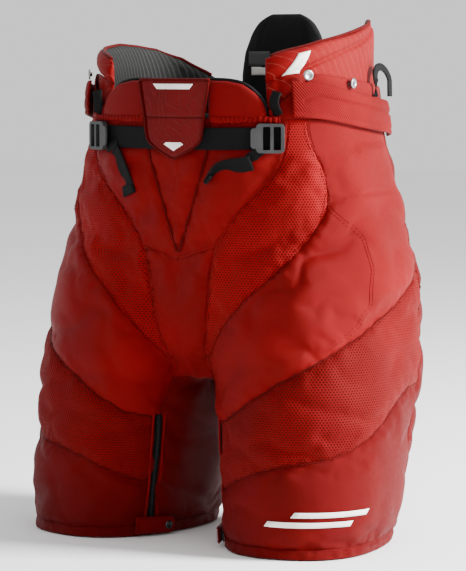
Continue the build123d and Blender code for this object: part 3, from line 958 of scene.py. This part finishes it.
def stitch_row(line, offset, verts, faces, length=3.1, radius=0.42):
    """Small raised stitches beside a line on the skin."""
    for i in range(1, len(line) - 1):
        tangent = (line[i + 1] - line[i - 1]).normalized()
        spot, facing, _, _ = bvh.find_nearest(line[i])
        side = facing.cross(tangent)
        spot, facing, _, _ = bvh.find_nearest(line[i] + side * offset)
        if spot is None:
            continue
        side = facing.cross(tangent).normalized()
        base = len(verts)
        for end, grow in ((-0.5, 0.35), (-0.3, 1.0), (0.3, 1.0), (0.5, 0.35)):
            mid = spot + tangent * (length * end) + facing * (0.25 if grow == 1 else 0.0)
            for k in range(5):
                a = TURN * k / 5
                verts.append(mid + (side * math.cos(a) + facing * math.sin(a)) * radius * grow)
        faces.extend(ring_faces(4, 5, base))


DOUBLE = {"hip_mesh", "fly_panel", "thigh_mesh"}
threads = {"left": ([], []), "right": ([], [])}
cords = {"left": [], "right": []}
for (a, b), keys in sorted(seams.items()):
    side = a.rsplit("_", 1)[1]
    kinds = {kind_of(a), kind_of(b)}
    for run in chains(keys):
        line = even([skin[v] for v in run], 4.4)
        if len(line) < 5:
            continue
        for offset in ((3.0, -3.0) if kinds & DOUBLE else (3.2,)):
            stitch_row(line, offset, *threads[side])
        if kinds in ({"side_panel", "thigh_mesh"}, {"fly_panel", "front_gore"}, {"thigh_mesh", "cuff_panel"}):
            fat = 1.1 if "cuff_panel" not in kinds else 0.8
            lifted = []
            for p in even([skin[v] for v in run], 6.0):
                spot, facing, _, _ = bvh.find_nearest(p)
                lifted.append(spot + facing * 0.5)
            if len(lifted) > 3:
                tube = sweep("run", lifted, Vector((0.3, 0.2, 1)), fat, fat)
                tube.data.materials.append(M["piping"])
                cords[side].append(tube)
for side in ("left", "right"):
    dress(make(f"topstitch_{side}", *threads[side]), "thread")
    legwise(bpy.data.objects[f"topstitch_{side}"], side)
    piping = join(f"piping_{side}", cords[side])
    legwise(piping, side)

# A curved stitched line over the side panel, and a plain pair of bars on the left cuff.
SIDE_LINE = [(168, 392), (186, 372), (203, 345), (212, 312), (212, 278), (203, 252), (188, 236)]
for side, s in SIDES:
    verts, faces = [], []
    hits = [bvh.ray_cast(on_side(p, s), Vector((0, 1, 0)))[0] for p in front_path(SIDE_LINE, 3.6, -400)]
    line = [spot for spot in hits if spot is not None]
    stitch_row(line, 0.0, verts, faces, 2.5, 0.45)
    stitch_row(line, 4.0, verts, faces, 2.5, 0.45)
    quilt = dress(make(f"side_quilting_{side}", verts, faces), "thread")
    legwise(quilt, side)


def patch(name, corners, lift, steps=14):
    """Thin printed patch laid on the left leg's skin; corners are (angle, z)."""
    a, b, c, d = [Vector((x, z)) for x, z in corners]
    verts = []
    for i in range(steps + 1):
        for k in range(4):
            u, v = i / steps, k / 3
            spot = a.lerp(b, u).lerp(d.lerp(c, u), v)
            guess, axis = leg_point(spot.x, spot.y), leg_point(spot.x, spot.y, 60)
            aim = (guess - axis).normalized()
            hit, facing, _, _ = bvh.ray_cast(guess + aim * 30, -aim)
            verts.append(hit + facing * lift)
    obj = make(name, verts, grid_faces(4, steps + 1, flip=True))
    thicken(obj, 0.6, 1)
    return obj


for k, (start, end, low, high) in enumerate([(-6, 46, 38, 44), (6, 58, 49, 55)]):
    bar = patch(f"cuff_bar_{k}", [(start, low), (end, low), (end + 2, high), (start + 2, high)], 0.5)
    dress(bar, "cream")
    legwise(bar, "left")

bpy.data.objects.remove(body)


# ---- crowned forms --------------------------------------------------------------------------------
def cushion(name, centre, nu, nv, half, edge=0.18, power=5.0, grooves=None):
    """Closed pillow: two faces either side of a centre surface, meeting in a rounded edge."""
    mid = [[centre(i / nu, j / nv) for i in range(nu + 1)] for j in range(nv + 1)]
    front, back = [], []
    for j in range(nv + 1):
        for i in range(nu + 1):
            du = mid[j][min(i + 1, nu)] - mid[j][max(i - 1, 0)]
            dv = mid[min(j + 1, nv)][i] - mid[max(j - 1, 0)][i]
            facing = du.cross(dv).normalized()
            s, t = 2 * i / nu - 1, 2 * j / nv - 1
            crown = edge + (1 - edge) * ((1 - abs(s) ** power) * (1 - abs(t) ** power)) ** 0.5
            dip = grooves(i / nu, j / nv) if grooves else 0.0
            front.append(mid[j][i] + facing * (half * crown - dip))
            back.append(mid[j][i] - facing * (half * crown))
    w, off = nu + 1, len(front)
    faces = []
    for j in range(nv):
        for i in range(nu):
            a = j * w + i
            faces.append((a, a + 1, a + w + 1, a + w))
            faces.append((off + a, off + a + w, off + a + w + 1, off + a + 1))
    rim = ([i for i in range(nu)] + [j * w + nu for j in range(nv)]
           + [nv * w + i for i in range(nu, 0, -1)] + [j * w for j in range(nv, 0, -1)])
    for k, a in enumerate(rim):
        b = rim[(k + 1) % len(rim)]
        faces.append((b, a, off + a, off + b))
    return make(name, front + back, faces)


def box_uv(obj):
    """UVs in metres: along the longer way round, and up."""
    p = points_of(obj) * 0.001
    idx = np.empty(len(obj.data.loops), dtype=int)
    obj.data.loops.foreach_get("vertex_index", idx)
    around = np.arctan2(p[:, 0], -(p[:, 1] - 0.004)) * 0.16
    layer = obj.data.uv_layers.new(name="UVMap")
    layer.data.foreach_set("uv", np.stack([around[idx] + 1, p[idx, 2] + 1], 1).ravel())


def finish_piece(obj, key, body_name, *nodes, fill=None):
    """UVs, material, the CAD nodes that a piece stands for, and the body that it moves with; its softness,
    fill, is not used.
    """
    box_uv(obj)
    dress(obj, key)
    if nodes:
        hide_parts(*nodes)
    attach(obj, body_name)


def pad_material(name, color, line, pitch, band):
    """Printed arcs over a woven ground."""
    sheen, gloss = (0.05, 0.2) if color[0] > 0.1 else (0.0, 0.08)
    n = Nodes(name, color, 0.55, Sheen_Weight=sheen, Specular_IOR_Level=gloss)
    obj = n.coords(False)
    _, y, z = n.axes(False)
    reach = n.radius(n.add(y, 0.16), n.sub(z, 0.47))
    ink = n.ramp(n.wave(n.add(reach, n.mul(n.noise(obj, 9.0), 0.02)), pitch), band, band + 0.05)
    drift = n.noise(obj, 12.0)
    ground = n.mix(n.ramp(drift, 0.3, 0.7), tuple(c * 0.75 for c in color), color)
    n.color(n.mix(ink, ground, line))
    weave = n.mul(n.wave(y, 0.0012), n.wave(z, 0.0012))
    n.normal(n.bump(weave, 0.0002, 0.6, n.bump(n.noise(obj, 120.0), 0.0004, 0.4)))
    return n.mat


M["pad_outer"] = pad_material("pad_outer", (0.150, 0.0022, 0.0040), (0.42, 0.12, 0.08), 0.0105, 0.985)
M["pad_inner"] = pad_material("pad_inner", (0.010, 0.010, 0.0098), (0.024, 0.024, 0.022), 0.0062, 0.6)
SLOTS["pad_outer"], SLOTS["pad_inner"] = "red_nylon", "red_nylon"

# Top edge as heights over the depth from the hip axis, and how many degrees the pad wraps round.
HIP_TOP = [(-120, 556), (-92, 567), (-55, 578), (0, 588), (50, 598), (80, 605), (96, 600), (110, 584)]
HIP_TOP_CURLED = [(-120, 552), (-92, 564), (-63, 571), (-22, 575), (15, 573), (50, 569), (82, 558),
                  (100, 543), (112, 528), (122, 505)]
HIP_SHAPE = {"left": (HIP_TOP, 99), "right": (HIP_TOP_CURLED, 117)}
HIP_FOOT = 495


def hip_crease(s):
    """How far up the pad its top roll starts: a third of the height in front, nothing behind."""
    return 0.56 + 0.40 * min(1.0, s / 0.85)


def hip_form(side):
    """Centre surface of one side's pad, drawn on the left."""
    outline, wrap = HIP_SHAPE[side]

    def centre(s, t):
        angle = 34 + wrap * s
        top = along(torso_point(angle, 520, 12).y - HIP_Y, outline) - 3
        lean = 4.0 * max(0, t - 0.5) ** 1.5
        end = 1 - 0.07 * abs(2 * s - 1) ** 8
        return torso_point(angle, HIP_FOOT + (top - HIP_FOOT) * t * end, 11.5 - lean)

    return centre


def hip_groove(s, t):
    """The crease under the top roll, the swell of the roll, and a sewn channel in front."""
    gap = t - hip_crease(s)
    roll = math.exp(-(gap / 0.034) ** 2) * 4.0
    swell = -3.4 * math.exp(-((gap - 0.20) / 0.13) ** 2) * (1 - s)
    front = math.exp(-((s - 0.075) / 0.012) ** 2) * 1.6 * (gap < 0)
    return roll + swell + front


pair = {}
for side, _ in SIDES:
    pad = cushion(f"hip_pad_cloth_{side}" if side == "left" else "hip_pad_form", hip_form(side), 60, 38, 6.0,
                  grooves=hip_groove)
    inflate(pad, 3.0, 1.6)
    finer(pad)
    pair[side] = pad
pair["right"] = mirrored(pad, "hip_pad_cloth_right")
bpy.data.objects.remove(pad)
for side, obj in pair.items():
    finish_piece(obj, "pad_outer", f"{side}_hip_pad", f"hip_pad_{side}", fill=0.75)
    obj.data.materials.append(M["pad_inner"])
    inward = []
    for poly in obj.data.polygons:
        c = poly.center * 1000
        faces_in = poly.normal.dot(Vector((-c.x, HIP_Y - c.y, 0)).normalized()) > 0.25
        inward.append(int(faces_in and c.y > HIP_Y - 92))
    obj.data.polygons.foreach_set("material_index", inward)
    obj.data.update()


def on_surface(obj, points, lift):
    """Points moved on to a piece's outer face, a little proud of it."""
    tree, out = surface_tree(obj), []
    for p in points:
        aim = Vector((p.x, p.y - HIP_Y, 0)).normalized()
        spot, facing, _, _ = tree.ray_cast(p + aim * 40, -aim)
        if spot is None:
            spot, facing, _, _ = tree.find_nearest(p)
        out.append(spot + facing * lift)
    return out


for side, s in SIDES:
    centre = hip_form(side)
    edge = [on_side(centre(k / 70, 0.985) + UP_AXIS * 1.5, s) for k in range(2, 69)]
    strip(f"hip_pad_binding_{side}", edge, UP_AXIS, 2.0, 2.4, "piping", f"{side}_hip_pad")
    corners = [(0.19, 0.93), (0.27, 0.93), (0.20, 0.62), (0.09, 0.62)]
    a, b, c, d = [Vector((x, z)) for x, z in corners]
    spots = []
    for i in range(13):
        for k in range(5):
            at = a.lerp(b, k / 4).lerp(d.lerp(c, k / 4), i / 12)
            spots.append(on_side(centre(at.x, at.y), s))
    stripe = make(f"hip_pad_flash_{side}", on_surface(pair[side], spots, 0.35), grid_faces(5, 13, flip=True))
    thicken(stripe, 0.7, 0)
    dress(stripe, "cream")
    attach(stripe, f"{side}_hip_pad")


def spine_centre(s, t):
    z = 495 + 114 * t
    half = np.interp(t, [0, 0.35, 0.6, 0.8, 0.9, 0.96, 1.0], [60, 60, 56, 47, 39, 30, 19])
    x = (2 * s - 1) * half
    p = torso_point(180 - math.degrees(math.asin(min(1, (abs(x) / 150) ** 1.5))), z, 12)
    return Vector((x, p.y - 1.0 + 3.5 * t, z))


spine = cushion("spine_pad_cloth", spine_centre, 34, 32, 5.6,
                grooves=lambda s, t: 1.8 * math.exp(-((abs(2 * s - 1) - 0.62) / 0.03) ** 2) * (t < 0.9))
inflate(spine, 3.0, 1.4)
finer(spine)
finish_piece(spine, "black", "spine_pad", "spine_pad", fill=0.7)
LABEL_Y = spine_centre(0.3, 0.5).y - 6.8
for k, (x, z, w, h, key) in enumerate([(-34, 556, 15, 9, "greylabel"), (-32, 541, 13, 5, "white")]):
    label = cushion(f"size_label_{k}",
                    lambda s, t: Vector((x + (2 * s - 1) * w, LABEL_Y, z + (2 * t - 1) * h)), 8, 5, 0.5)
    dress(label, key)
    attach(label, "spine_pad")


# ---- waist: inner band, ribbed flaps, belly wings and shield --------------------------------------
def band_top(u):
    return 545 - 27 * (u + 128) / 256


def inner_band(s, t):
    angle = 34 + 292 * s
    probe = torso_point(angle, 515, 2)
    front = min(abs(angle - 34), abs(326 - angle))
    top = min(band_top(probe.y - HIP_Y), 498 + 1.35 * front)
    z = 487 + (top - 487) * t
    return torso_point(angle, z, 2)


band = cushion("waistband_cloth", inner_band, 150, 8, 1.8, edge=0.5)
finer(band)
finish_piece(band, "nylon", "pelvis", "waistband", fill=0.4)


def flap_centre(s, t):
    angle = 46.5 + 86.5 * s
    u = torso_point(angle, 500, 0).y - HIP_Y
    top, bottom = 531.0 - 27 * (u + 102) / 194, 491.0 - 26 * (u + 102) / 194
    z = bottom + (top - bottom) * t + 0.8 * math.sin(9 * s)
    return torso_point(angle, z, -4.3 - 1.6 * math.sin(math.pi * t) - 0.8 * math.sin(13 * s + 1) * (1 - t))


def flap_groove(s, t):
    """Sewn line that starts low at the front edge and runs back along the flap."""
    line = 0.40 + 0.22 * min(1, max(0, s - 0.07) / 0.12) ** 0.5
    return 2.2 * math.exp(-((t - line) / 0.05) ** 2) * (s > 0.07) + 1.0 * math.exp(-((t - 0.16) / 0.04) ** 2)


flap_left = cushion("waist_flap_cloth_left", flap_centre, 72, 30, 2.7, edge=0.45,
                    grooves=flap_groove)
inflate(flap_left, 1.2, 0.8)
finer(flap_left)
for side, obj in (("left", flap_left), ("right", mirrored(flap_left, "waist_flap_cloth_right"))):
    finish_piece(obj, "rib", "pelvis", f"waist_flap_{side}", fill=0.5)

WING_TOP = [(40, 533), (66, 532), (84, 528), (97, 519), (106, 508), (111, 492)]


def wing_centre(s, t):
    x = 42 + 68 * s
    z = 486 + (along(x, WING_TOP) - 487.5) * t
    return waist_at(x, z, -1.5)[0]


wing_left = cushion("belly_wing_cloth_left", wing_centre, 26, 18, 4.2, edge=0.3, power=4)
inflate(wing_left, 3.0, 1.8)
finer(wing_left)
wing_right = mirrored(wing_left, "belly_wing_cloth_right")
for side, s in SIDES:
    finish_piece(wing_left if s > 0 else wing_right, "nylon", "pelvis", f"belly_wing_{side}", fill=0.6)
    edge = [on_side(waist_at(p.x, p.z - 0.5, -6.0)[0], s) for p in front_path(WING_TOP, 4)]
    strip(f"wing_binding_{side}", edge, Vector((0, 0.3, 1)), 2.2, 3.2, "black", "pelvis")

SHIELD_EDGE = [(443, 0.6), (449, 14), (455, 25), (462, 34), (468, 37), (490, 40), (512, 44), (531, 47.5)]


def shield_centre(s, t):
    z = 443 + 88.5 * t
    half = along(z, SHIELD_EDGE)
    x = (2 * s - 1) * half
    return Vector((x, HIP_Y - 132.6 - 1.4 * (1 - (x / 50) ** 2), z))


def shield_material():
    """Glossy laminate with faint contour lines pressed into it."""
    n = Nodes("shield", (0.10, 0.0015, 0.0028), 0.42, Coat_Weight=0.12, Coat_Roughness=0.25,
              Specular_IOR_Level=0.25)
    obj = n.coords(False)
    contour = n.math("SINE", n.mul(n.noise(obj, 26.0, 1.0), 60.0))
    line = n.ramp(contour, 0.55, 0.95)
    drift = n.noise(obj, 20.0)
    ground = n.mix(n.ramp(drift, 0.3, 0.7), (0.070, 0.0011, 0.0021), (0.100, 0.0015, 0.0028))
    n.color(n.mix(line, ground, (0.085, 0.0022, 0.0038)))
    n.rough(n.add(n.mul(n.noise(obj, 220.0), 0.2), 0.2))
    n.normal(n.bump(line, 0.0003, 0.7))
    return n.mat


M["shield"] = shield_material()
SLOTS["shield"] = "glossy_laminate"
plate = cushion("shield_plate", shield_centre, 26, 36, 1.9, edge=0.4, power=8,
                grooves=lambda s, t: 0.8 * math.exp(-((t - 0.52) / 0.012) ** 2))
finer(plate)
dress(plate, "shield")
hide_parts("shield")
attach(plate, "pelvis")
front_y = HIP_Y - 135.0
rim = [(0, 443), (14, 449), (25, 455), (34, 462), (37.5, 470), (40, 490), (44, 512), (47, 530)]
rim = [(-x, z) for x, z in rim[::-1]] + rim[1:]
outline = front_path(rim, 3, front_y)
def shield_bar(half, y, z):
    """Level line across the shield."""
    return [Vector((x, y, z)) for x in np.linspace(-half, half, 24)]


for name, path, fat in (("shield_piping", outline, 1.5),
                        ("shield_seam", shield_bar(39, front_y - 0.6, 489), 0.8),
                        ("shield_top_edge", shield_bar(47, front_y + 1.5, 532), 2.0)):
    strip(name, path, Vector((0, 1, 0)), fat, fat, "piping", "pelvis")


def chip(name, corners, y, key):
    """Small raised plain badge."""
    n = len(corners)
    c = Vector((sum(x for x, _ in corners) / n, 0, sum(z for _, z in corners) / n))
    rings = [(1.0, 0.0), (1.0, 0.7), (0.9, 1.0), (0.45, 1.1)]
    verts = [Vector((c.x + (x - c.x) * k, y - h, c.z + (z - c.z) * k)) for k, h in rings for x, z in corners]
    faces = ring_faces(4, n) + [end_faces(4, n)[1]]
    obj = dress(make(name, verts, faces, smooth=False), key)
    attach(obj, "pelvis")


chip("shield_chip_top", [(-27, 527.5), (27, 527.5), (22, 521.5), (-22, 521.5)], front_y - 0.9, "cream")
chip("shield_chip_low", [(-14, 459), (-11, 461.5), (11, 461.5), (14, 459), (0, 451)], front_y + 0.1, "cream")


# ---- strap, elastic tunnels and hardware -----------------------------------------------------------
def belt_point(x):
    """Middle of the strap at x: it lies close to the cloth where the buckles start."""
    out = 2.3 if abs(x) < 84 else max(1.15, 2.3 - 0.12 * (abs(x) - 84))
    return waist_at(x, BELT_Z - 1.5 * math.cos(x / 70), out)[0]


belt_path = [belt_point(x) for x in range(-129, 130, 3)]
belt = strip("belt_run", belt_path, UP_AXIS, 12.5, 0.7, "webbing", "pelvis", rounds=False)
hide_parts("waist_webbing")
for side, s in SIDES:
    def ruche(u, t, s=s):
        x = s * (46 + 78 * u)
        pinch = 1 - 0.35 * math.exp(-((u - 0.55) / 0.12) ** 2)
        z = 487.6 + (2 * t - 1) * 3.6 * pinch + 0.5 * math.sin(u * 70)
        return waist_at(x, z, 2.2 + 0.7 * math.sin(u * 95))[0]

    tunnel = cushion(f"belt_tunnel_{side}", ruche, 80, 5, 1.5, edge=0.4)
    finish_piece(tunnel, "nylon", "pelvis", *(["belt_tunnels"] if side == "left" else []))
    strap = [waist_at(s * (121 - 3 * math.sin(k / 3)), 519 - 2.4 * k, 2.6 + 1.2 * math.sin(k / 2.2))[0]
             for k in range(12)]
    tether = strip(f"tether_{side}", strap, Vector((1, 0, 0)), 6.0, 1.0, "webbing", "pelvis", rounds=False)
    middle = HIP_Y + 54
    arc = [(166 - 4.0 * math.sin(a), middle - 16.5 * math.cos(a), 531 + 15.5 * math.sin(a))
           for a in np.linspace(0, math.pi, 15)]
    arc = [(166.4, middle - 16.5, 512), *arc, (166.4, middle + 16.5, 512)]
    arc = [Vector((s * x, y, z)) for x, y, z in arc]
    centre = Vector((s * 166.4, middle, 526))
    outwards = [(p - centre).normalized() if p.z > 515 else Vector((0, 1, 0)) for p in arc]
    loop = strip(f"hanger_loop_{side}", arc, outwards, 4.6, 1.1, "webbing", "pelvis", rounds=False)
    if side == "left":
        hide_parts("pad_tethers")
        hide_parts("hanger_loops")


def out_of_hip(points):
    """Points given as x, depth from the hip axis, and height."""
    return [Vector((x, HIP_Y + u, z)) for x, u, z in points]


def tail(side, root, points, widths, end_width, half_w=10.5):
    """Belt tail, and the short root that comes out of the buckle and stays with it."""
    path = smooth_path(out_of_hip(points), 3)
    body_name = f"{side}_belt_tail"
    turns = [widths(k) for k in range(len(path))]
    cloth = strip(f"tail_cloth_{side}", path, turns, half_w, 0.95, "webbing", body_name, rounds=False)
    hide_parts(f"belt_tail_{side}")
    strip(f"tail_root_{side}", out_of_hip(root), widths(0), half_w, 0.9, "webbing", f"{side}_buckle",
          rounds=False)
    strip(f"tail_end_{side}", path[-4:], end_width, half_w + 0.2, 2.0, "webbing", body_name, rounds=False)


# The right tail hangs and twists; the left one lies inwards under the belt.
tail("right", [(-95, -122.0, 464), (-93, -123.2, 457), (-91, -124.0, 450.8)],
     [(-90.5, -124.2, 450), (-84, -126.2, 443), (-76, -128, 431), (-70, -128.5, 417), (-64, -129, 400)],
     lambda k: Vector((1, -0.15 - 0.35 * math.sin(0.4 + k * 0.16), 0.30 - 0.01 * k)), Vector((1, -0.4, 0.2)))
tail("left", [(110, -116.5, 459), (106, -119.6, 452), (101, -122.0, 446), (95, -123.6, 441.5)],
     [(98, -125.6, 440), (86, -128.0, 437), (72, -129.8, 435.5), (59, -131.4, 432), (51, -132.4, 426),
      (43, -133.0, 418)],
     lambda k: Vector((0.06 * k, -0.2 - 0.02 * k, 1)), Vector((1, -0.6, 0.6)), 8.8)


def lathe(place, facing, profile, seg=20):
    """Turned form: radius and height pairs about an axis."""
    facing = Vector(facing).normalized()
    a = facing.orthogonal().normalized()
    b = facing.cross(a)
    spokes = [a * math.cos(TURN * k / seg) + b * math.sin(TURN * k / seg) for k in range(seg)]
    return loft([[Vector(place) + facing * h + spoke * r for spoke in spokes] for r, h in profile])


# Radius and height up the button; then each button's place, facing and finish on the left.
BUTTON = [(2.4, 0), (2.4, 2.2), (5.8, 2.3), (6.1, 2.9), (6.1, 3.7), (5.5, 4.4), (4.2, 4.7), (3.7, 4.3),
          (0.5, 4.2)]
SPOTS = [((146.6, HIP_Y - 86, 537.5), (0.82, -0.57, 0), "chrome"),
         ((164.5, HIP_Y - 18, 528), (1, 0, 0), "chrome"),
         ((45, HIP_Y + 128.1, 504), (0.06, 1, 0), "button")]
for k, (spot, facing, key) in enumerate(SPOTS):
    for side, s in SIDES:
        form = lathe(on_side(Vector(spot), s), on_side(Vector(facing), s), BUTTON)
        button = dress(make(f"suspender_button_{k}_{side}", *form), key)
        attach(button, "pelvis")
        if k == 0 and side == "left":
            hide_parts("suspender_buttons")


# ---- inner-leg zipper and snap tab ------------------------------------------------------------------
LOW = Vector((52.57, HIP_Y - 106.29, 6))
UP = Vector((-0.08466, 0.02571, 0.99608))
OUT = Vector((-0.9083, -0.4130, -0.0665))
ALONG = Vector((0.4097, -0.9104, 0.0583))
STUD = (-20, 8)  # across the zipper, and up it
SNAP_CAP = [(4.6, 0), (5.0, 0.5), (5.0, 1.2), (4.3, 1.9), (3.2, 2.1), (2.8, 1.8), (0.4, 1.75)]


def zip_at(s, x, y, z):
    """Point in the zipper's frame: across it, up it and out of the cloth."""
    return on_side(LOW + ALONG * x + UP * y + OUT * z, s)


def zip_sway(y):
    """How the zipper wanders sideways on its way up."""
    return 0.5 * math.sin(y / 19)


def block_row(name, s, spots, half):
    """Many small chamfered blocks in the zipper's frame."""
    verts, faces = [], []
    for x, y, z in spots:
        base = len(verts)
        for dz, grow in ((-half[2], 1.0), (half[2] * 0.4, 1.0), (half[2], 0.6)):
            for dx, dy in ((-1, -1), (1, -1), (1, 1), (-1, 1)):
                verts.append(zip_at(s, x + dx * half[0] * grow, y + dy * half[1] * grow, z + dz))
        faces += ring_faces(3, 4, base)
        faces.append((base + 8, base + 9, base + 10, base + 11))
    obj = make(name, verts, faces, smooth=False)
    if s < 0:
        obj.data.flip_normals()
    return obj


for side, s in SIDES:
    across = on_side(ALONG, s)
    path = [zip_at(s, zip_sway(y), y, -1.9 + 0.4 * math.sin(y / 13)) for y in np.linspace(-3, 138, 60)]
    tape = strip(f"zipper_tape_cloth_{side}", path, across, 4.5, 1.2, "webbing", side, rounds=False)
    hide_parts(f"zipper_tape_{side}")
    teeth = [((0.9 if k % 2 else -0.9) + zip_sway(y), y, -0.4 + 0.4 * math.sin(y / 13))
             for k, y in enumerate(np.arange(0, 137, 1.7))]
    legwise(dress(block_row(f"zipper_teeth_{side}", s, teeth, (1.3, 0.55, 0.5)), "zipmetal"), side)
    for k, x in enumerate((-7.6, 7.6)):
        path = [zip_at(s, x + 0.5 * math.sin(y / 17 + k), y, -0.5 + 0.5 * math.sin(y / 9 + 2 * k))
                for y in np.linspace(-2, 140, 60)]
        strip(f"zipper_welt_{k}_{side}", path, across, 1.6, 1.2, "nylon", side)

    def tab_centre(u, v, s=s):
        x = -30 + 54.5 * u
        reach = 10 * (1 - max(0, (-20 - x) / 10) ** 2) ** 0.5 if x < -20 else 10
        return zip_at(s, x, 8 + (2 * v - 1) * reach * s, 6.1 + 0.35 * math.sin(4 * u + 1))

    tab = cushion(f"snap_tab_cloth_{side}", tab_centre, 40, 16, 1.35, edge=0.45, power=6)
    finer(tab)
    finish_piece(tab, "nylon", f"{side}_snap_tab", f"snap_tab_{side}", fill=0.3)
    rim = [(x, 8 + e * 7.6, 7.5) for e in (-1, 1) for x in np.arange(-18, 23, 3.4)]
    rim += [(22.6, y, 7.5) for y in np.arange(2.5, 14, 3.0)]
    stitches = block_row(f"snap_tab_stitches_{side}", s, rim, (1.1, 0.4, 0.35))
    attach(dress(stitches, "thread"), f"{side}_snap_tab")
    form = lathe(zip_at(s, *STUD, 7.1), on_side(OUT, s), SNAP_CAP)
    cap = dress(make(f"snap_cap_button_{side}", *form), "button")
    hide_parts(f"snap_cap_{side}")
    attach(cap, f"{side}_snap_tab")

    for node, key in (("buckle", "buckle"), ("snap_stud", "button"), ("zipper_slider", "zipmetal"),
                      ("zipper_pull", "zipmetal")):
        materials = bpy.data.objects[f"{node}_{side}"].data.materials
        materials.clear()
        materials.append(M[key])


# ---- studio, camera and finish --------------------------------------------------------------------
def studio():
    """Pale flat floor under a white world, soft light from the right."""
    scene = bpy.context.scene
    world = bpy.data.worlds.new("world")
    scene.world = world
    world.use_nodes = True
    world.node_tree.nodes["Background"].inputs[0].default_value = (1.0, 1.0, 1.0, 1)
    world.node_tree.nodes["Background"].inputs[1].default_value = 1.0
    mesh = bpy.data.meshes.new("floor")
    mesh.from_pydata([(-9, -9, 0), (9, -9, 0), (9, 9, 0), (-9, 9, 0)], [], [(0, 1, 2, 3)])
    floor = bpy.data.objects.new("floor", mesh)
    scene.collection.objects.link(floor)
    mat = bpy.data.materials.new("floor")
    mat.use_nodes = True
    shader = mat.node_tree.nodes["Principled BSDF"]
    shader.inputs["Base Color"].default_value = (0.93, 0.93, 0.93, 1)
    shader.inputs["Roughness"].default_value = 0.9
    mesh.materials.append(mat)
    floor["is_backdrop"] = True
    for name, place, size, power, aim in (("key", (2.5, 0.8, 1.45), 0.9, 430, (0, 0, 0.3)),
                                          ("fill", (-0.6, -2.6, 1.0), 1.4, 3, (0, 0, 0.3)),
                                          ("top", (0.3, 0.4, 2.4), 1.6, 5, (0, 0, 0.3))):
        light = bpy.data.lights.new(name, "AREA")
        light.energy, light.size = power, size
        obj = bpy.data.objects.new(name, light)
        obj.location = place
        obj.rotation_euler = (Vector(aim) - Vector(place)).to_track_quat("-Z", "Y").to_euler()
        scene.collection.objects.link(obj)


studio()
cam = bpy.data.cameras.new("camera")
camera = bpy.data.objects.new("camera", cam)
bpy.context.scene.collection.objects.link(camera)
bpy.context.scene.camera = camera
cam.lens, cam.sensor_width = 161.7, 36.0
cam.sensor_fit = "AUTO"
az, el, far = math.radians(32), math.radians(5), 3.0
hem_y = (HIP_Y - 45) * 0.001
target = Vector((0.0196 * math.cos(az), hem_y + 0.0196 * math.sin(az), 0.2916))
out = Vector((math.sin(az) * math.cos(el), -math.cos(az) * math.cos(el), math.sin(el)))
camera.location = target + out * far
camera.rotation_euler = out.to_track_quat("Z", "Y").to_euler()

low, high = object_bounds()
